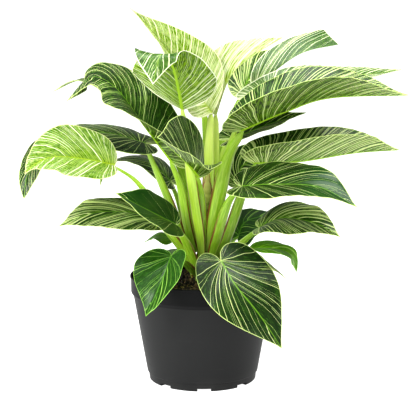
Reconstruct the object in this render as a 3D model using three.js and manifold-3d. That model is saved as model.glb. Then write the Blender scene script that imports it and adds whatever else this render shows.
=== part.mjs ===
// Pinstriped philodendron in a round nursery pot, as separate solids. Millimetres, +Z up.
// The origin is the middle of the pot's underside, and the plant's best side faces -Y.
// Leaves are thin shells bent along a midrib. Each one has its own stalk, which rises
// from a short stem that stands in the potting mix.
import * as THREE from 'three';
import Module from 'manifold-3d';
import { mergeVertices } from 'three/addons/utils/BufferGeometryUtils.js';

// ---- Driving dimensions ----
const POT_HEIGHT = 118;
const POT_RIM_RADIUS = 81;
const POT_BASE_RADIUS = 60.5;
const POT_WALL = 1.7;
const POT_COLLAR_HEIGHT = 22;      // the wider band round the mouth
const POT_COLLAR_STEP = 2.6;       // how far the band stands out from the body
const POT_FOOT_HEIGHT = 4;         // how far the floor is raised inside the foot ring
const POT_FOOT_WIDTH = 7;
const POT_PAD_RADIUS = 19;         // the middle of the floor comes down to the bench again
const POT_SIDES = 72;
const DRAIN_SLOTS = 8;
const DRAIN_SLOT_WIDTH = 15;
const DRAIN_SLOT_HEIGHT = 3.2;
const DRAIN_HOLES = 6;
const DRAIN_HOLE_RADIUS = 4.5;
const DRAIN_HOLE_CIRCLE = 38;

const CLEAR = 0.35;                // gap between pieces that touch
const SOIL_EDGE = POT_HEIGHT - 11; // height of the mix at the pot's wall
const SOIL_CROWN = 4;              // how much higher it is round the stem
const SOIL_LUMP = 1.2;

const STEM_FOOT = 84;              // bottom of the stem, in the mix
const STEM_TOP = 174;
const STEM_FOOT_RADIUS = 9;
const STEM_TOP_RADIUS = 4.4;
const STEM_RING = 0.35;            // depth of the rings that old leaves left
const STEM_RING_PITCH = 9;

const BLADE_HALF_THICKNESS = 0.55;
const STALK_SIDES = 8;
const STALK_STEP = 15;             // length of one straight stretch of a stalk
const STALK_FOOT = 2.6;            // half widths of a stalk, from its foot to its blade
const STALK_MIDDLE = 3.9;
const STALK_NECK = 2.3;
const STALK_TIP = 1.1;
const STALK_FLATNESS = 0.62;       // thickness as a share of width
const STALK_TIP_LENGTH = 0.05;     // share of the stalk that narrows to the tip

const COLOURS = {
  pot: 0x33363a, soil: 0x3a2c22, stem: 0x7a9a45, stalk: 0x9cc440, sheath: 0x8a6a3c,
  mature: 0x1f4a2c, young: 0x8fb94c, pale: 0xcfe08c, old: 0x2f6a30,
};

// ---- The leaves ----
// Points are in the pot's frame. base: where the stalk joins the blade. via and tip: the
// rest of the midrib. left and right: the margin at the widest place, seen from above
// with the tip ahead. stalk: points from the blade down to the foot. foot: bearing round
// the stem in degrees from +X, and height. The other values shape the outline: lobe is the
// length of the two lobes behind the base, widest is the share of the length where the
// blade is widest, full and taper set how slowly it narrows, and lean slants a half towards
// the tip. curl, fold and twist bend the blade.
const LEAVES = {
  crown_left: {
    base: [11, 4, 298], via: [[-16, 8, 333], [-43, 10, 372], [-62, 10, 395]], tip: [-80, 6, 414],
    left: [-22, -34, 333], right: [16, 14, 362], stalk: [[7, 2, 241]], foot: [-25, 166],
    foldBase: [-40, 0], lobe: 0, widest: 0.24, full: 0.2, taper: 0, lean: [0.05, 0.35], kind: 'pale',
  },
  crown_right: {
    base: [15, 12, 294], via: [[32, 20, 338], [60, 26, 362]], tip: [91, 30, 381],
    left: [-4, 30, 346], right: [16, 58, 338], stalk: [[13, 12, 246]], foot: [72, 168],
    foldBase: [20, 20], lobe: 0, widest: 0.24, full: 0.25, lean: [0.3, 0.3], kind: 'pale',
  },
  front_arch: {
    base: [-21, -45, 305.5], via: [[-25, -56, 330], [-31, -67, 354], [-42, -83, 366]], tip: [-50, -98, 336],
    left: [17, -50, 331], right: [-74, -60, 357], foot: [-96, 134],
    stalk: [[-16, -48, 268], [-13, -41, 241], [-7, -24, 194], [-2, -15, 159]],
    curl: [20, 20], foldTip: [-32, 0], lobe: 0, widest: 0.2, full: 0.12, lean: [0.12, 0.75],
    kind: 'young',
  },
  left_large: {
    base: [-33, -14, 246], via: [[-62, -22, 286], [-93, -32, 329], [-119, -42, 340]], tip: [-143, -50, 316],
    left: [-77, -74, 312], right: [-54, -4, 338], stalk: [[-24, -8, 217], [-17, -6, 175]],
    foot: [-162, 144], foldBase: [45, 0], foldTip: [-60, -80], widest: 0.42, full: 0.34, taper: 0.35,
  },
  left_back_high: {
    base: [-59, 40, 285], via: [[-95, 62, 313], [-138, 84, 330]], tip: [-177, 104, 315],
    left: [-88, 34, 301], right: [-85, 88, 323], stalk: [[-22, 41, 226]], foot: [122, 144],
  },
  left_lime: {
    base: [-92, -62, 249], via: [[-119, -72, 256], [-151, -88, 261], [-171, -96, 255]],
    tip: [-182, -102, 245], left: [-136, -116, 244], right: [-135, -66, 292],
    stalk: [[-67, -48, 226], [-35, -30, 172]],
    foot: [-137, 133], widest: 0.48, full: 0.2, taper: 0.25, lobe: 0.03, kind: 'pale',
  },
  left_arching: {
    base: [-62, 4, 265], via: [[-105, 8, 276], [-151, 12, 274], [-183, 14, 254], [-196, 14, 227]],
    tip: [-200, 12, 201], left: [-102, -26, 261], right: [-107, 42, 281],
    stalk: [[-48, 4, 226], [-34, 2, 193], [-21, -2, 157]], foot: [-176, 134],
    curl: [-20, -20], twist: [0, 80], full: 0.36, taper: 0.5,
  },
  left_mid: {
    base: [-35, 19, 220], via: [[-59, 35, 240], [-90, 54, 244], [-113, 70, 229]], tip: [-121, 80, 206],
    left: [-63, 19, 233], right: [-56, 62, 244], stalk: [[-26, 13, 195]], foot: [150, 130],
  },
  front_fold: {
    base: [-4, -38, 233], via: [[-15, -62, 250], [-33, -95, 272]], tip: [-45, -120, 285],
    left: [4, -100, 253], right: [-20, -64, 305], stalk: [[-2, -20, 206]], foot: [-82, 150],
    foldBase: [60, 0], widest: 0.42, full: 0.36,
  },
  right_large: {
    base: [42, -25, 282], via: [[89, -24, 302], [138, -20, 317]], tip: [225, -8, 319],
    left: [94, 15, 342], right: [84, -66, 330], stalk: [[29, -20, 255], [18, -16, 210]], foot: [-50, 146],
    lobe: 0.09, full: 0.45, lean: [0.2, -0.2],
  },
  right_large_back: {
    base: [56, 25, 313], via: [[108, 44, 330], [169, 66, 335]], tip: [237, 88, 342],
    left: [104, 62, 347], right: [103, 8, 321], stalk: [[27, 14, 254]], foot: [22, 156],
  },
  right_top: {
    base: [58, 72, 318.8], via: [[83, 80, 340], [117, 92, 361]], tip: [160, 108, 370],
    left: [86, 102, 369], right: [84, 100, 345], stalk: [[26, 48, 250], [10, 20, 180]], foot: [62, 146],
    foldBase: [25, 25], lobe: 0, widest: 0.5, full: 0.5, taper: 1.3, lean: [0.2, 0.2], kind: 'young',
  },
  right_top_back: {
    base: [46, 92, 312], via: [[56, 106, 332]], tip: [89, 130, 367],
    left: [34, 104, 340], right: [73, 116, 327], stalk: [[20, 60, 250]], foot: [80, 136],
  },
  right_upper: {
    base: [57, 4, 243], via: [[109, 12, 244], [171, 24, 252]], tip: [223, 36, 254],
    left: [122, 42, 278], right: [120, -20, 273], stalk: [[45, 2, 211], [26, -2, 157]], foot: [-6, 130],
    widest: 0.4, full: 0.4, taper: 0.3,
  },
  right_mid: {
    base: [42, -38, 223], via: [[75, -52, 227], [122, -72, 227]], tip: [161, -92, 209],
    left: [80, -22, 247], right: [68, -90, 218], stalk: [[28, -28, 203], [15, -16, 160]], foot: [-47, 130],
    curl: [-25, -10], full: 0.4,
  },
  right_lower: {
    base: [63, -8, 173], via: [[88, -18, 185], [121, -34, 182]], tip: [149, -48, 169],
    left: [100, 4, 200], right: [96, -60, 174], stalk: [[44, -6, 155]], foot: [-14, 120],
    curl: [-30, -20], widest: 0.38, lobe: 0.07,
  },
  right_small: {
    base: [54, 2, 147], via: [[78, 3, 147], [98, 4, 140]], tip: [106, 6, 119],
    left: [83, 16, 152], right: [81, -14, 144], stalk: [[36, 2, 138]], foot: [6, 116],
    curl: [-30, -30], twist: [0, -50], widest: 0.45, full: 0.36, taper: 0.3, lobe: 0.02, kind: 'old',
  },
  front_right_heart: {
    base: [20, -66, 147], via: [[35, -86, 125], [59, -97, 97]], tip: [84, -98, 59],
    left: [69, -62, 145], right: [6, -96, 108], stalk: [[12, -44, 141]], foot: [-76, 116], lobe: 0.16,
  },
  front_left_heart: {
    base: [-33, -64, 152], via: [[-40, -80, 135], [-49, -93, 115]], tip: [-59, -98, 94],
    left: [-24, -104, 135], right: [-71, -66, 145], stalk: [[-20, -44, 141]], foot: [-112, 116], kind: 'old',
  },
  left_low_back: {
    base: [-34, 8, 137], via: [[-52, 35, 135]], tip: [-75, 68, 110],
    left: [-62, 26, 129], right: [-43, 60, 137], stalk: [[-16, 4, 128]], foot: [172, 114], kind: 'old',
  },
  left_low_small: {
    base: [-32, 14, 154], via: [[-48, 22, 162]], tip: [-67, 34, 148],
    left: [-50, 0, 155], right: [-51, 46, 162], stalk: [[-19, 9, 142]], foot: [140, 122],
    lobe: 0.04, kind: 'old',
  },
  front_left_dark: {
    base: [-28, -48, 183], via: [[-45, -60, 194], [-67, -78, 209]], tip: [-89, -94, 224],
    left: [-49, -92, 188], right: [-37, -28, 207], stalk: [[-17, -30, 158]], foot: [-116, 122],
  },
  left_lower: {
    base: [-46, -24, 181], via: [[-78, -36, 194], [-118, -54, 196]], tip: [-152, -70, 185],
    left: [-97, -76, 183], right: [-97, -18, 208], stalk: [[-23, -8, 148]], foot: [-162, 119],
    lobe: 0.04, widest: 0.45,
  },
  right_low_dark: {
    base: [40, 22, 157], via: [[51, 44, 171]], tip: [91, 92, 173],
    left: [38, 52, 181], right: [71, 52, 159], stalk: [[24, 10, 144]], foot: [24, 122], kind: 'old',
  },
  right_low_back: {
    base: [40, 17, 131], via: [[66, 40, 129]], tip: [99, 68, 98],
    left: [60, 56, 136], right: [60, 28, 124], stalk: [[22, 14, 124]], foot: [36, 113],
  },
  centre_back: {
    base: [34, 34, 267], via: [[72, 36, 282]], tip: [117, 40, 296],
    left: [45, 50, 288], right: [60, 20, 273], stalk: [[24, 25, 232], [13, 9, 175]], foot: [28, 138],
    lobe: 0.2,
  },
  right_shaded: {
    base: [38, 34, 213], via: [[51, 56, 237]], tip: [111, 112, 242],
    left: [41, 62, 255], right: [71, 70, 222], stalk: [[22, 14, 177]], foot: [28, 128], lobe: 0.06,
  },
  back_high: {
    base: [2, 52, 300], via: [[-18, 84, 322]], tip: [-56, 124, 336],
    left: [-38, 66, 314], right: [-4, 98, 336], stalk: [[6, 26, 232]], foot: [92, 152], lobe: 0.05,
  },
};

// The papery sheath that the youngest leaf came out of stands against the front of the crown.
// It is a narrow scale, hollow towards the stem. Half widths run from its foot to its tip.
const SHEATH_ROUTE = [[4, -6, 166], [5, -7, 190], [5, -8, 212], [6, -8, 236]];
const SHEATH_HALF_WIDTHS = [3.2, 4.2, 4.4, 3.8, 2.6, 1.2];
const SHEATH_THICKNESS = 0.9;
const SHEATH_HOLLOW = 0.5;         // depth of the hollow as a share of the half width
const SHEATH_ACROSS = 6;

const SHAPE_DEFAULTS = {
  lobe: 0.1, taper: 0.2, widest: 0.28, full: 0.32, curl: [0, 0], foldBase: [0, 0], foldTip: [0, 0],
  twist: [0, 0], lean: [0, 0], kind: 'mature',
};
const LOBE_SHARE = 0.42;           // share of the margin, from base to tip, that is lobe
const VEIN_SHARE = 0.14;           // veins of this share of the margin start at the base itself
const VEIN_POWER = 1.9;            // how far the veins sweep forward
const VEIN_BOW = 0.12;             // how far the veins bow outwards, and where along the margin
const BOW_START = 0.2;             // they begin to bow and bow fully
const BOW_FULL = 0.5;
const MARGIN_STEPS = [0, 0.07, 0.15, 0.24, 0.33, 0.42, 0.51, 0.6, 0.68, 0.76, 0.84, 0.91, 0.96, 1];
const ACROSS_STEPS = [0, 0.5, 1];

const RIGHT = 1;
const LEFT = 0;
const radians = THREE.MathUtils.degToRad;
const vector = (point) => new THREE.Vector3(...point);

function cubic(a, b, c, d, t) {
  const m = 1 - t;
  return m * m * m * a + 3 * m * m * t * b + 3 * m * t * t * c + t * t * t * d;
}

function spline(points) {
  return new THREE.CatmullRomCurve3(points, false, 'catmullrom', 0.5);
}

// A blade is worked out flat first, as half outlines with veins, and then bent along its midrib.
class Blade {
  constructor(shape) {
    Object.assign(this, SHAPE_DEFAULTS, shape);
    this.midrib = spline([this.base, ...this.via, this.tip].map(vector));
    this.length = this.midrib.getLength();
    const centre = this.midrib.getPointAt(this.widest);
    const along = this.midrib.getTangentAt(this.widest);
    const reach = [this.left, this.right].map((point) => vector(point).sub(centre).projectOnPlane(along));
    this.across = reach[RIGHT].clone().normalize().sub(reach[LEFT].clone().normalize()).normalize();
    const up = this.across.clone().cross(along);
    this.halves = reach.map((arm, side) => {
      const out = side === RIGHT ? 1 : -1;
      const half = radians(this.curl[side]) / 2;
      const slope = Math.atan2(arm.dot(up), out * arm.dot(this.across));
      const width = arm.length() * (half ? half / Math.sin(half) : 1);
      return { out, width, slope: slope - half, bend: (2 * half) / width };
    });
  }

  // The frame of the midrib at a share u of its length: forward, to the right, and up.
  frame(u) {
    const forward = this.midrib.getTangentAt(THREE.MathUtils.clamp(u, 0, 1));
    const right = this.across.clone().projectOnPlane(forward).normalize();
    const before = Math.max(0, (this.widest - u) / this.widest);
    const after = Math.max(0, (u - this.widest) / (1 - this.widest));
    right.applyAxisAngle(forward, -radians(this.twist[0] * before + this.twist[1] * after ** 2));
    return { forward, right, up: right.clone().cross(forward) };
  }

  margin(s) {
    const { lobe, widest, full, taper } = this;
    if (s < LOBE_SHARE) {
      const t = s / LOBE_SHARE;
      return [cubic(0, -1.5 * lobe, -1.25 * lobe, widest, t), cubic(0, 0.12, 1, 1, t)];
    }
    const t = (s - LOBE_SHARE) / (1 - LOBE_SHARE);
    return [cubic(widest, widest + full, 0.84, 1, t), cubic(1, 1, taper, 0, t)];
  }

  // A point on the flat blade: s runs along the margin, v along the vein from midrib to margin.
  flat(s, v, half) {
    const [shareAlong, shareOut] = this.margin(s);
    const start = Math.max(0, (s - VEIN_SHARE) / (1 - VEIN_SHARE)) ** VEIN_POWER * this.length;
    const alongMargin = shareAlong * this.length;
    const outMargin = shareOut * half.width;
    const run = alongMargin - start;
    const bow = VEIN_BOW * THREE.MathUtils.clamp((s - BOW_START) / (BOW_FULL - BOW_START), 0, 1);
    const bendAlong = start + 0.5 * run - bow * outMargin;
    const bendOut = 0.5 * outMargin + bow * run;
    const m = 1 - v;
    return [
      m * m * start + 2 * m * v * bendAlong + v * v * alongMargin,
      2 * m * v * bendOut + v * v * outMargin,
    ];
  }

  // Bends a flat point onto the midrib. The lobes lie behind the base, where u is negative.
  point(s, v, side) {
    const half = this.halves[side];
    const [straight, out] = this.flat(s, v, half);
    const along = straight + this.lean[side] * out;
    const u = along / this.length;
    const { forward, right, up } = this.frame(u);
    const place = this.midrib.getPointAt(THREE.MathUtils.clamp(u, 0, 1));
    if (u < 0) place.addScaledVector(forward, along);
    const held = THREE.MathUtils.clamp(u, -0.1, 1);
    const extra = held < this.widest
      ? this.foldBase[side] * (this.widest - held) / this.widest
      : this.foldTip[side] * (held - this.widest) / (1 - this.widest);
    const slope = half.slope + radians(extra);
    const turn = half.bend * out;
    const bent = Math.abs(half.bend) > 1e-6;
    const sideways = bent ? (Math.sin(slope + turn) - Math.sin(slope)) / half.bend : out * Math.cos(slope);
    const rise = bent ? (Math.cos(slope) - Math.cos(slope + turn)) / half.bend : out * Math.sin(slope);
    return place.addScaledVector(right, half.out * sideways).addScaledVector(up, rise);
  }
}

function geometryOf(points, triangles) {
  const geometry = new THREE.BufferGeometry().setFromPoints(points);
  geometry.setIndex(triangles.flat());
  geometry.computeVertexNormals();
  return geometry;
}

// A closed thin shell: the blade's surface moved up and down by half its thickness, and a
// strip round the margin. Both halves share the midrib, and all veins share the base and tip.
function bladeGeometry(shape) {
  const blade = new Blade(shape);
  const points = [];
  const last = MARGIN_STEPS.length - 1;
  const add = (point) => points.push(point) - 1;
  const base = add(blade.point(0, 0, RIGHT));
  const tip = add(blade.point(1, 0, RIGHT));
  const ribs = MARGIN_STEPS.map((s) => {
    if (s <= VEIN_SHARE) return base;
    return s === 1 ? tip : add(blade.point(s, 0, RIGHT));
  });
  const rows = [LEFT, RIGHT].map((side) => MARGIN_STEPS.map((s, row) => ACROSS_STEPS.map((v) => {
    if (v === 0) return ribs[row];
    if (row === 0) return base;
    return row === last ? tip : add(blade.point(s, v, side));
  })));
  const surface = [];
  const face = (side, a, b, c) => {
    if (a === b || b === c || a === c) return;
    surface.push(side === RIGHT ? [a, b, c] : [a, c, b]);
  };
  // Each cell is split along its shorter diagonal.
  const cell = (side, a, b, c, d) => {
    if (points[a].distanceTo(points[c]) < points[b].distanceTo(points[d])) {
      face(side, a, b, c);
      face(side, a, c, d);
    } else {
      face(side, a, b, d);
      face(side, b, c, d);
    }
  };
  rows.forEach((grid, side) => {
    for (let i = 0; i < last; i += 1) {
      for (let j = 0; j + 1 < ACROSS_STEPS.length; j += 1) {
        cell(side, grid[i][j], grid[i][j + 1], grid[i + 1][j + 1], grid[i + 1][j]);
      }
    }
  });
  const normals = geometryOf(points, surface).getAttribute('normal');
  const shifted = (sign) => points.map((point, i) => {
    const normal = new THREE.Vector3().fromBufferAttribute(normals, i);
    return point.clone().addScaledVector(normal, sign * BLADE_HALF_THICKNESS);
  });
  const count = points.length;
  const triangles = [...surface, ...surface.map(([a, b, c]) => [a + count, c + count, b + count])];
  rows.forEach((grid, side) => {
    for (let i = 0; i < last; i += 1) {
      const here = grid[i].at(-1);
      const next = grid[i + 1].at(-1);
      const [from, to] = side === RIGHT ? [here, next] : [next, here];
      triangles.push([from, from + count, to + count], [from, to + count, to]);
    }
  });
  return geometryOf([...shifted(1), ...shifted(-1)], triangles);
}

// Joins rings of the same number of points into a tube, and closes it at both ends.
function tubeGeometry(rings) {
  const sides = rings[0].length;
  const triangles = [];
  for (let ring = 0; ring + 1 < rings.length; ring += 1) {
    for (let k = 0; k < sides; k += 1) {
      const a = ring * sides + k;
      const b = ring * sides + ((k + 1) % sides);
      triangles.push([a, b, b + sides], [a, b + sides, a + sides]);
    }
  }
  return { points: rings.flat(), triangles, top: (rings.length - 1) * sides };
}

function stemRadius(height) {
  const share = THREE.MathUtils.clamp((height - SOIL_EDGE) / (STEM_TOP - SOIL_EDGE), 0, 1);
  return THREE.MathUtils.lerp(STEM_FOOT_RADIUS, STEM_TOP_RADIUS, share);
}

function stalkHalfWidth(u) {
  const tipStart = 1 - STALK_TIP_LENGTH;
  if (u > tipStart) return THREE.MathUtils.lerp(STALK_NECK, STALK_TIP, (u - tipStart) / STALK_TIP_LENGTH);
  if (u > 0.5) return THREE.MathUtils.lerp(STALK_MIDDLE, STALK_NECK, (u - 0.5) / (tipStart - 0.5));
  return THREE.MathUtils.lerp(STALK_FOOT, STALK_MIDDLE, Math.min(1, u / 0.3));
}

// A stalk is an oval tube that starts against the stem and ends just under the blade's base.
function stalkGeometry(shape) {
  const [bearing, height] = shape.foot;
  const outward = new THREE.Vector3(Math.cos(radians(bearing)), Math.sin(radians(bearing)), 0);
  const sideways = new THREE.Vector3(-outward.y, outward.x, 0);
  const next = vector(shape.stalk.at(-1));
  const steepness = (next.z - height) / Math.hypot(next.x, next.y, next.z - height);
  const reach = stemRadius(height) + CLEAR + STALK_FOOT * STALK_FLATNESS * steepness;
  const foot = outward.clone().multiplyScalar(reach).setZ(height);
  const blade = new Blade(shape);
  const under = blade.frame(0).up.negate();
  const last = vector(shape.base);
  const before = vector(shape.stalk[0]);
  const lean = last.clone().sub(before).normalize();
  const edge = STALK_TIP * Math.sqrt(1 - lean.dot(under) ** 2);
  last.addScaledVector(under, BLADE_HALF_THICKNESS + CLEAR + edge);
  const route = spline([foot, ...shape.stalk.map(vector).reverse(), last]);
  const steps = Math.max(5, Math.round(route.getLength() / STALK_STEP));
  const shares = Array.from({ length: steps }, (_, i) => (i / (steps - 1)) * (1 - STALK_TIP_LENGTH));
  shares.push(1);
  const rings = shares.map((u) => {
    const centre = route.getPointAt(u);
    const along = route.getTangentAt(u);
    const wide = sideways.clone().projectOnPlane(along).normalize();
    const thick = along.clone().cross(wide);
    const halfWidth = stalkHalfWidth(u);
    const flatness = u === 1 ? 1 : STALK_FLATNESS;
    return Array.from({ length: STALK_SIDES }, (_, k) => {
      const angle = (2 * Math.PI * k) / STALK_SIDES;
      return centre.clone()
        .addScaledVector(wide, halfWidth * Math.cos(angle))
        .addScaledVector(thick, halfWidth * flatness * Math.sin(angle));
    });
  });
  const { points, triangles, top } = tubeGeometry(rings);
  for (let k = 1; k + 1 < STALK_SIDES; k += 1) {
    triangles.push([0, k + 1, k], [top, top + k, top + k + 1]);
  }
  return geometryOf(points, triangles);
}

function lathe(profile, sides) {
  const geometry = new THREE.LatheGeometry(profile.map(([r, z]) => new THREE.Vector2(r, z)), sides);
  return geometry.rotateX(Math.PI / 2);
}

const wasm = await Module();
wasm.setup();

function toSolid(geometry) {
  const bare = geometry.clone();
  bare.deleteAttribute('normal');
  bare.deleteAttribute('uv');
  const merged = mergeVertices(bare);
  return new wasm.Manifold(new wasm.Mesh({
    numProp: 3,
    vertProperties: new Float32Array(merged.getAttribute('position').array),
    triVerts: new Uint32Array(merged.getIndex().array),
  }));
}

function toGeometry(solid) {
  const mesh = solid.getMesh();
  const geometry = new THREE.BufferGeometry();
  geometry.setAttribute('position', new THREE.BufferAttribute(new Float32Array(mesh.vertProperties), 3));
  geometry.setIndex(new THREE.BufferAttribute(new Uint32Array(mesh.triVerts), 1));
  geometry.computeVertexNormals();
  return geometry;
}

// Radius of the pot's body, outside, below the collar.
function potBodyRadius(height) {
  const collarRadius = POT_RIM_RADIUS - 1 - POT_COLLAR_STEP;
  return THREE.MathUtils.lerp(POT_BASE_RADIUS, collarRadius, height / (POT_HEIGHT - POT_COLLAR_HEIGHT));
}

// One moulded shell: a raised floor in a foot ring, a tapered wall and a wider collar.
function potGeometry() {
  const collar = POT_HEIGHT - POT_COLLAR_HEIGHT;
  const body = potBodyRadius(collar);
  const footInner = POT_BASE_RADIUS - POT_FOOT_WIDTH;
  const floorTop = POT_FOOT_HEIGHT + POT_WALL;
  const outside = [
    [0, 0], [POT_PAD_RADIUS, 0], [POT_PAD_RADIUS + 3, POT_FOOT_HEIGHT],
    [footInner - 2, POT_FOOT_HEIGHT], [footInner, 0], [POT_BASE_RADIUS - 2, 0], [POT_BASE_RADIUS, 2.5],
    [body, collar], [body + POT_COLLAR_STEP, collar + 3.5],
    [POT_RIM_RADIUS - 0.3, POT_HEIGHT - 1.4], [POT_RIM_RADIUS, POT_HEIGHT - 0.4],
    [POT_RIM_RADIUS - 0.5, POT_HEIGHT],
  ];
  const inside = [
    [POT_RIM_RADIUS - POT_WALL, POT_HEIGHT], [POT_RIM_RADIUS - POT_WALL - 0.7, POT_HEIGHT - 1.4],
    [body + POT_COLLAR_STEP - POT_WALL, collar + 5], [body - POT_WALL, collar + 1],
    [potBodyRadius(floorTop) - POT_WALL, floorTop], [POT_PAD_RADIUS + 4, floorTop],
    [POT_PAD_RADIUS + 1, POT_WALL], [0, POT_WALL],
  ];
  let pot = toSolid(lathe([...outside, ...inside], POT_SIDES));
  for (let i = 0; i < DRAIN_SLOTS; i += 1) {
    const turn = -Math.PI / 2 + radians(2) + (i * 2 * Math.PI) / DRAIN_SLOTS;
    const slot = new THREE.BoxGeometry(POT_FOOT_WIDTH + 12, DRAIN_SLOT_WIDTH, 2 * DRAIN_SLOT_HEIGHT);
    slot.translate(POT_BASE_RADIUS - POT_FOOT_WIDTH / 2, 0, 0).rotateZ(turn);
    pot = pot.subtract(toSolid(slot));
  }
  for (let i = 0; i < DRAIN_HOLES; i += 1) {
    const hole = new THREE.CylinderGeometry(DRAIN_HOLE_RADIUS, DRAIN_HOLE_RADIUS, 4 * POT_FOOT_HEIGHT, 16);
    hole.rotateX(Math.PI / 2).translate(DRAIN_HOLE_CIRCLE, 0, 0).rotateZ((i * 2 * Math.PI) / DRAIN_HOLES);
    pot = pot.subtract(toSolid(hole));
  }
  return toGeometry(pot);
}

// The potting mix fills the pot, is a little higher round the stem and has a lumpy top.
function soilGeometry() {
  const collar = POT_HEIGHT - POT_COLLAR_HEIGHT;
  const gap = POT_WALL + CLEAR;
  const floorTop = POT_FOOT_HEIGHT + POT_WALL + CLEAR;
  const edge = potBodyRadius(collar) + POT_COLLAR_STEP - gap;
  const bore = STEM_FOOT_RADIUS + STEM_RING + CLEAR;
  const top = SOIL_EDGE + SOIL_CROWN;
  const profile = [
    [0, floorTop], [potBodyRadius(floorTop) - gap - 0.3, floorTop],
    [potBodyRadius(collar) - gap - 0.3, collar],
    [edge - 0.3, collar + 5.2], [edge, SOIL_EDGE], [edge * 0.84, SOIL_EDGE + 1], [edge * 0.68, SOIL_EDGE + 2],
    [edge * 0.52, SOIL_EDGE + 2.6], [edge * 0.36, top - 1], [edge * 0.23, top], [bore, top],
    [bore, STEM_FOOT - CLEAR], [0, STEM_FOOT - CLEAR],
  ];
  const geometry = lathe(profile, 36);
  const position = geometry.getAttribute('position');
  const place = new THREE.Vector3();
  for (let i = 0; i < position.count; i += 1) {
    place.fromBufferAttribute(position, i);
    const radius = Math.hypot(place.x, place.y);
    const loose = place.z > SOIL_EDGE + 0.5 && radius > bore + 4;
    const short = Math.sin(place.x * 0.31 + 1) * Math.cos(place.y * 0.27);
    const long = Math.sin(place.x * 0.13 - place.y * 0.19);
    if (loose) position.setZ(i, place.z + SOIL_LUMP * 0.5 * (short + long));
  }
  return geometry;
}

// The stem narrows upwards and is ringed where old leaves grew.
function stemGeometry() {
  const profile = [[0, STEM_FOOT], [STEM_FOOT_RADIUS - 1, STEM_FOOT]];
  for (let height = STEM_FOOT + 1; height < STEM_TOP - 1; height += STEM_RING_PITCH / 2) {
    const ring = Math.round((height - STEM_FOOT - 1) / (STEM_RING_PITCH / 2)) % 2 === 0 ? 0 : -STEM_RING;
    profile.push([stemRadius(height) + ring, height]);
  }
  profile.push([STEM_TOP_RADIUS - 1.2, STEM_TOP], [0, STEM_TOP]);
  return lathe(profile, 20);
}

// Each cross-section of the sheath is a crescent, hollow towards the stem at its back.
function sheathGeometry() {
  const route = spline(SHEATH_ROUTE.map(vector));
  const last = SHEATH_HALF_WIDTHS.length - 1;
  const rings = SHEATH_HALF_WIDTHS.map((halfWidth, ring) => {
    const centre = route.getPointAt(ring / last);
    const crescent = (share, back) => {
      const bulge = SHEATH_HOLLOW * halfWidth * (1 - share * share);
      return centre.clone().add(new THREE.Vector3(share * halfWidth, back - bulge, 0));
    };
    const shares = Array.from({ length: SHEATH_ACROSS + 1 }, (_, i) => (2 * i) / SHEATH_ACROSS - 1);
    const front = shares.map((share) => crescent(share, 0));
    const behind = shares.map((share) => crescent(share, SHEATH_THICKNESS)).reverse();
    return [...front, ...behind];
  });
  const { points, triangles, top } = tubeGeometry(rings);
  const side = SHEATH_ACROSS + 1;
  for (let k = 0; k < SHEATH_ACROSS; k += 1) {
    const behind = 2 * side - 1 - k;
    triangles.push([k, behind, k + 1], [k + 1, behind, behind - 1]);
    triangles.push([top + k, top + k + 1, top + behind], [top + k + 1, top + behind - 1, top + behind]);
  }
  return geometryOf(points, triangles);
}

const plant = new THREE.Group();

function addPiece(name, geometry, color, roughness) {
  const material = new THREE.MeshStandardMaterial({ color, roughness, metalness: 0 });
  const mesh = new THREE.Mesh(geometry, material);
  mesh.name = name;
  plant.add(mesh);
}

addPiece('nursery_pot', potGeometry(), COLOURS.pot, 0.55);
addPiece('potting_mix', soilGeometry(), COLOURS.soil, 0.95);
addPiece('stem', stemGeometry(), COLOURS.stem, 0.6);
addPiece('papery_sheath', sheathGeometry(), COLOURS.sheath, 0.8);
for (const [place, shape] of Object.entries(LEAVES)) {
  addPiece(`leaf_${place}_blade`, bladeGeometry(shape), COLOURS[shape.kind ?? SHAPE_DEFAULTS.kind], 0.4);
  addPiece(`leaf_${place}_stalk`, stalkGeometry(shape), COLOURS.stalk, 0.45);
}

export default plant;
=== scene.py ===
"""Pinstriped philodendron in a nursery pot: the fine surfaces and the finish of every piece."""
import math

import bmesh
import bpy
import numpy as np
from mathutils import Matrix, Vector


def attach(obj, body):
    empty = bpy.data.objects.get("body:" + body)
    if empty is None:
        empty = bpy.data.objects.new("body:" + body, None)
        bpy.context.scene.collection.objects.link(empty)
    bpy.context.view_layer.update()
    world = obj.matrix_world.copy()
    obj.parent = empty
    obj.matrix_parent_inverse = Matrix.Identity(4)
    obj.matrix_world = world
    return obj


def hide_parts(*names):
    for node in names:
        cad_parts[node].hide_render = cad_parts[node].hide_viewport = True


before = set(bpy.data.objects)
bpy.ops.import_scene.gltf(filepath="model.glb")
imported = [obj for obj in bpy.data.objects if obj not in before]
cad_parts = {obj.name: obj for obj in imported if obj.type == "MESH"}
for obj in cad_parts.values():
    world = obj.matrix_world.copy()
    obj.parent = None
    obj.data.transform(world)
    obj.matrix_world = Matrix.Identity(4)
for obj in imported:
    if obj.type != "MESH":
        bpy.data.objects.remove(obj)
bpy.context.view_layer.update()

MM = 0.001
BODY = "root"


# ---- Node trees ----

class Value:
    """One output of a node. A sum with it adds Math nodes to its tree."""

    def __init__(self, nodes, socket):
        self.nodes = nodes
        self.socket = socket

    def output(self, name):
        return Value(self.nodes, self.socket.node.outputs[name])

    def math(self, operation, *others):
        return self.nodes.add("ShaderNodeMath", {"operation": operation}, [self, *others])

    def __add__(self, other):
        return self.math("ADD", other)

    def __sub__(self, other):
        return self.math("SUBTRACT", other)

    def __rsub__(self, other):
        return self.nodes.add("ShaderNodeMath", {"operation": "SUBTRACT"}, [other, self])

    def __mul__(self, other):
        return self.math("MULTIPLY", other)

    def __truediv__(self, other):
        return self.math("DIVIDE", other)

    def __lt__(self, other):
        return self.math("LESS_THAN", other)

    def __abs__(self):
        return self.math("ABSOLUTE")

    __radd__ = __add__
    __rmul__ = __mul__


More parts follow.
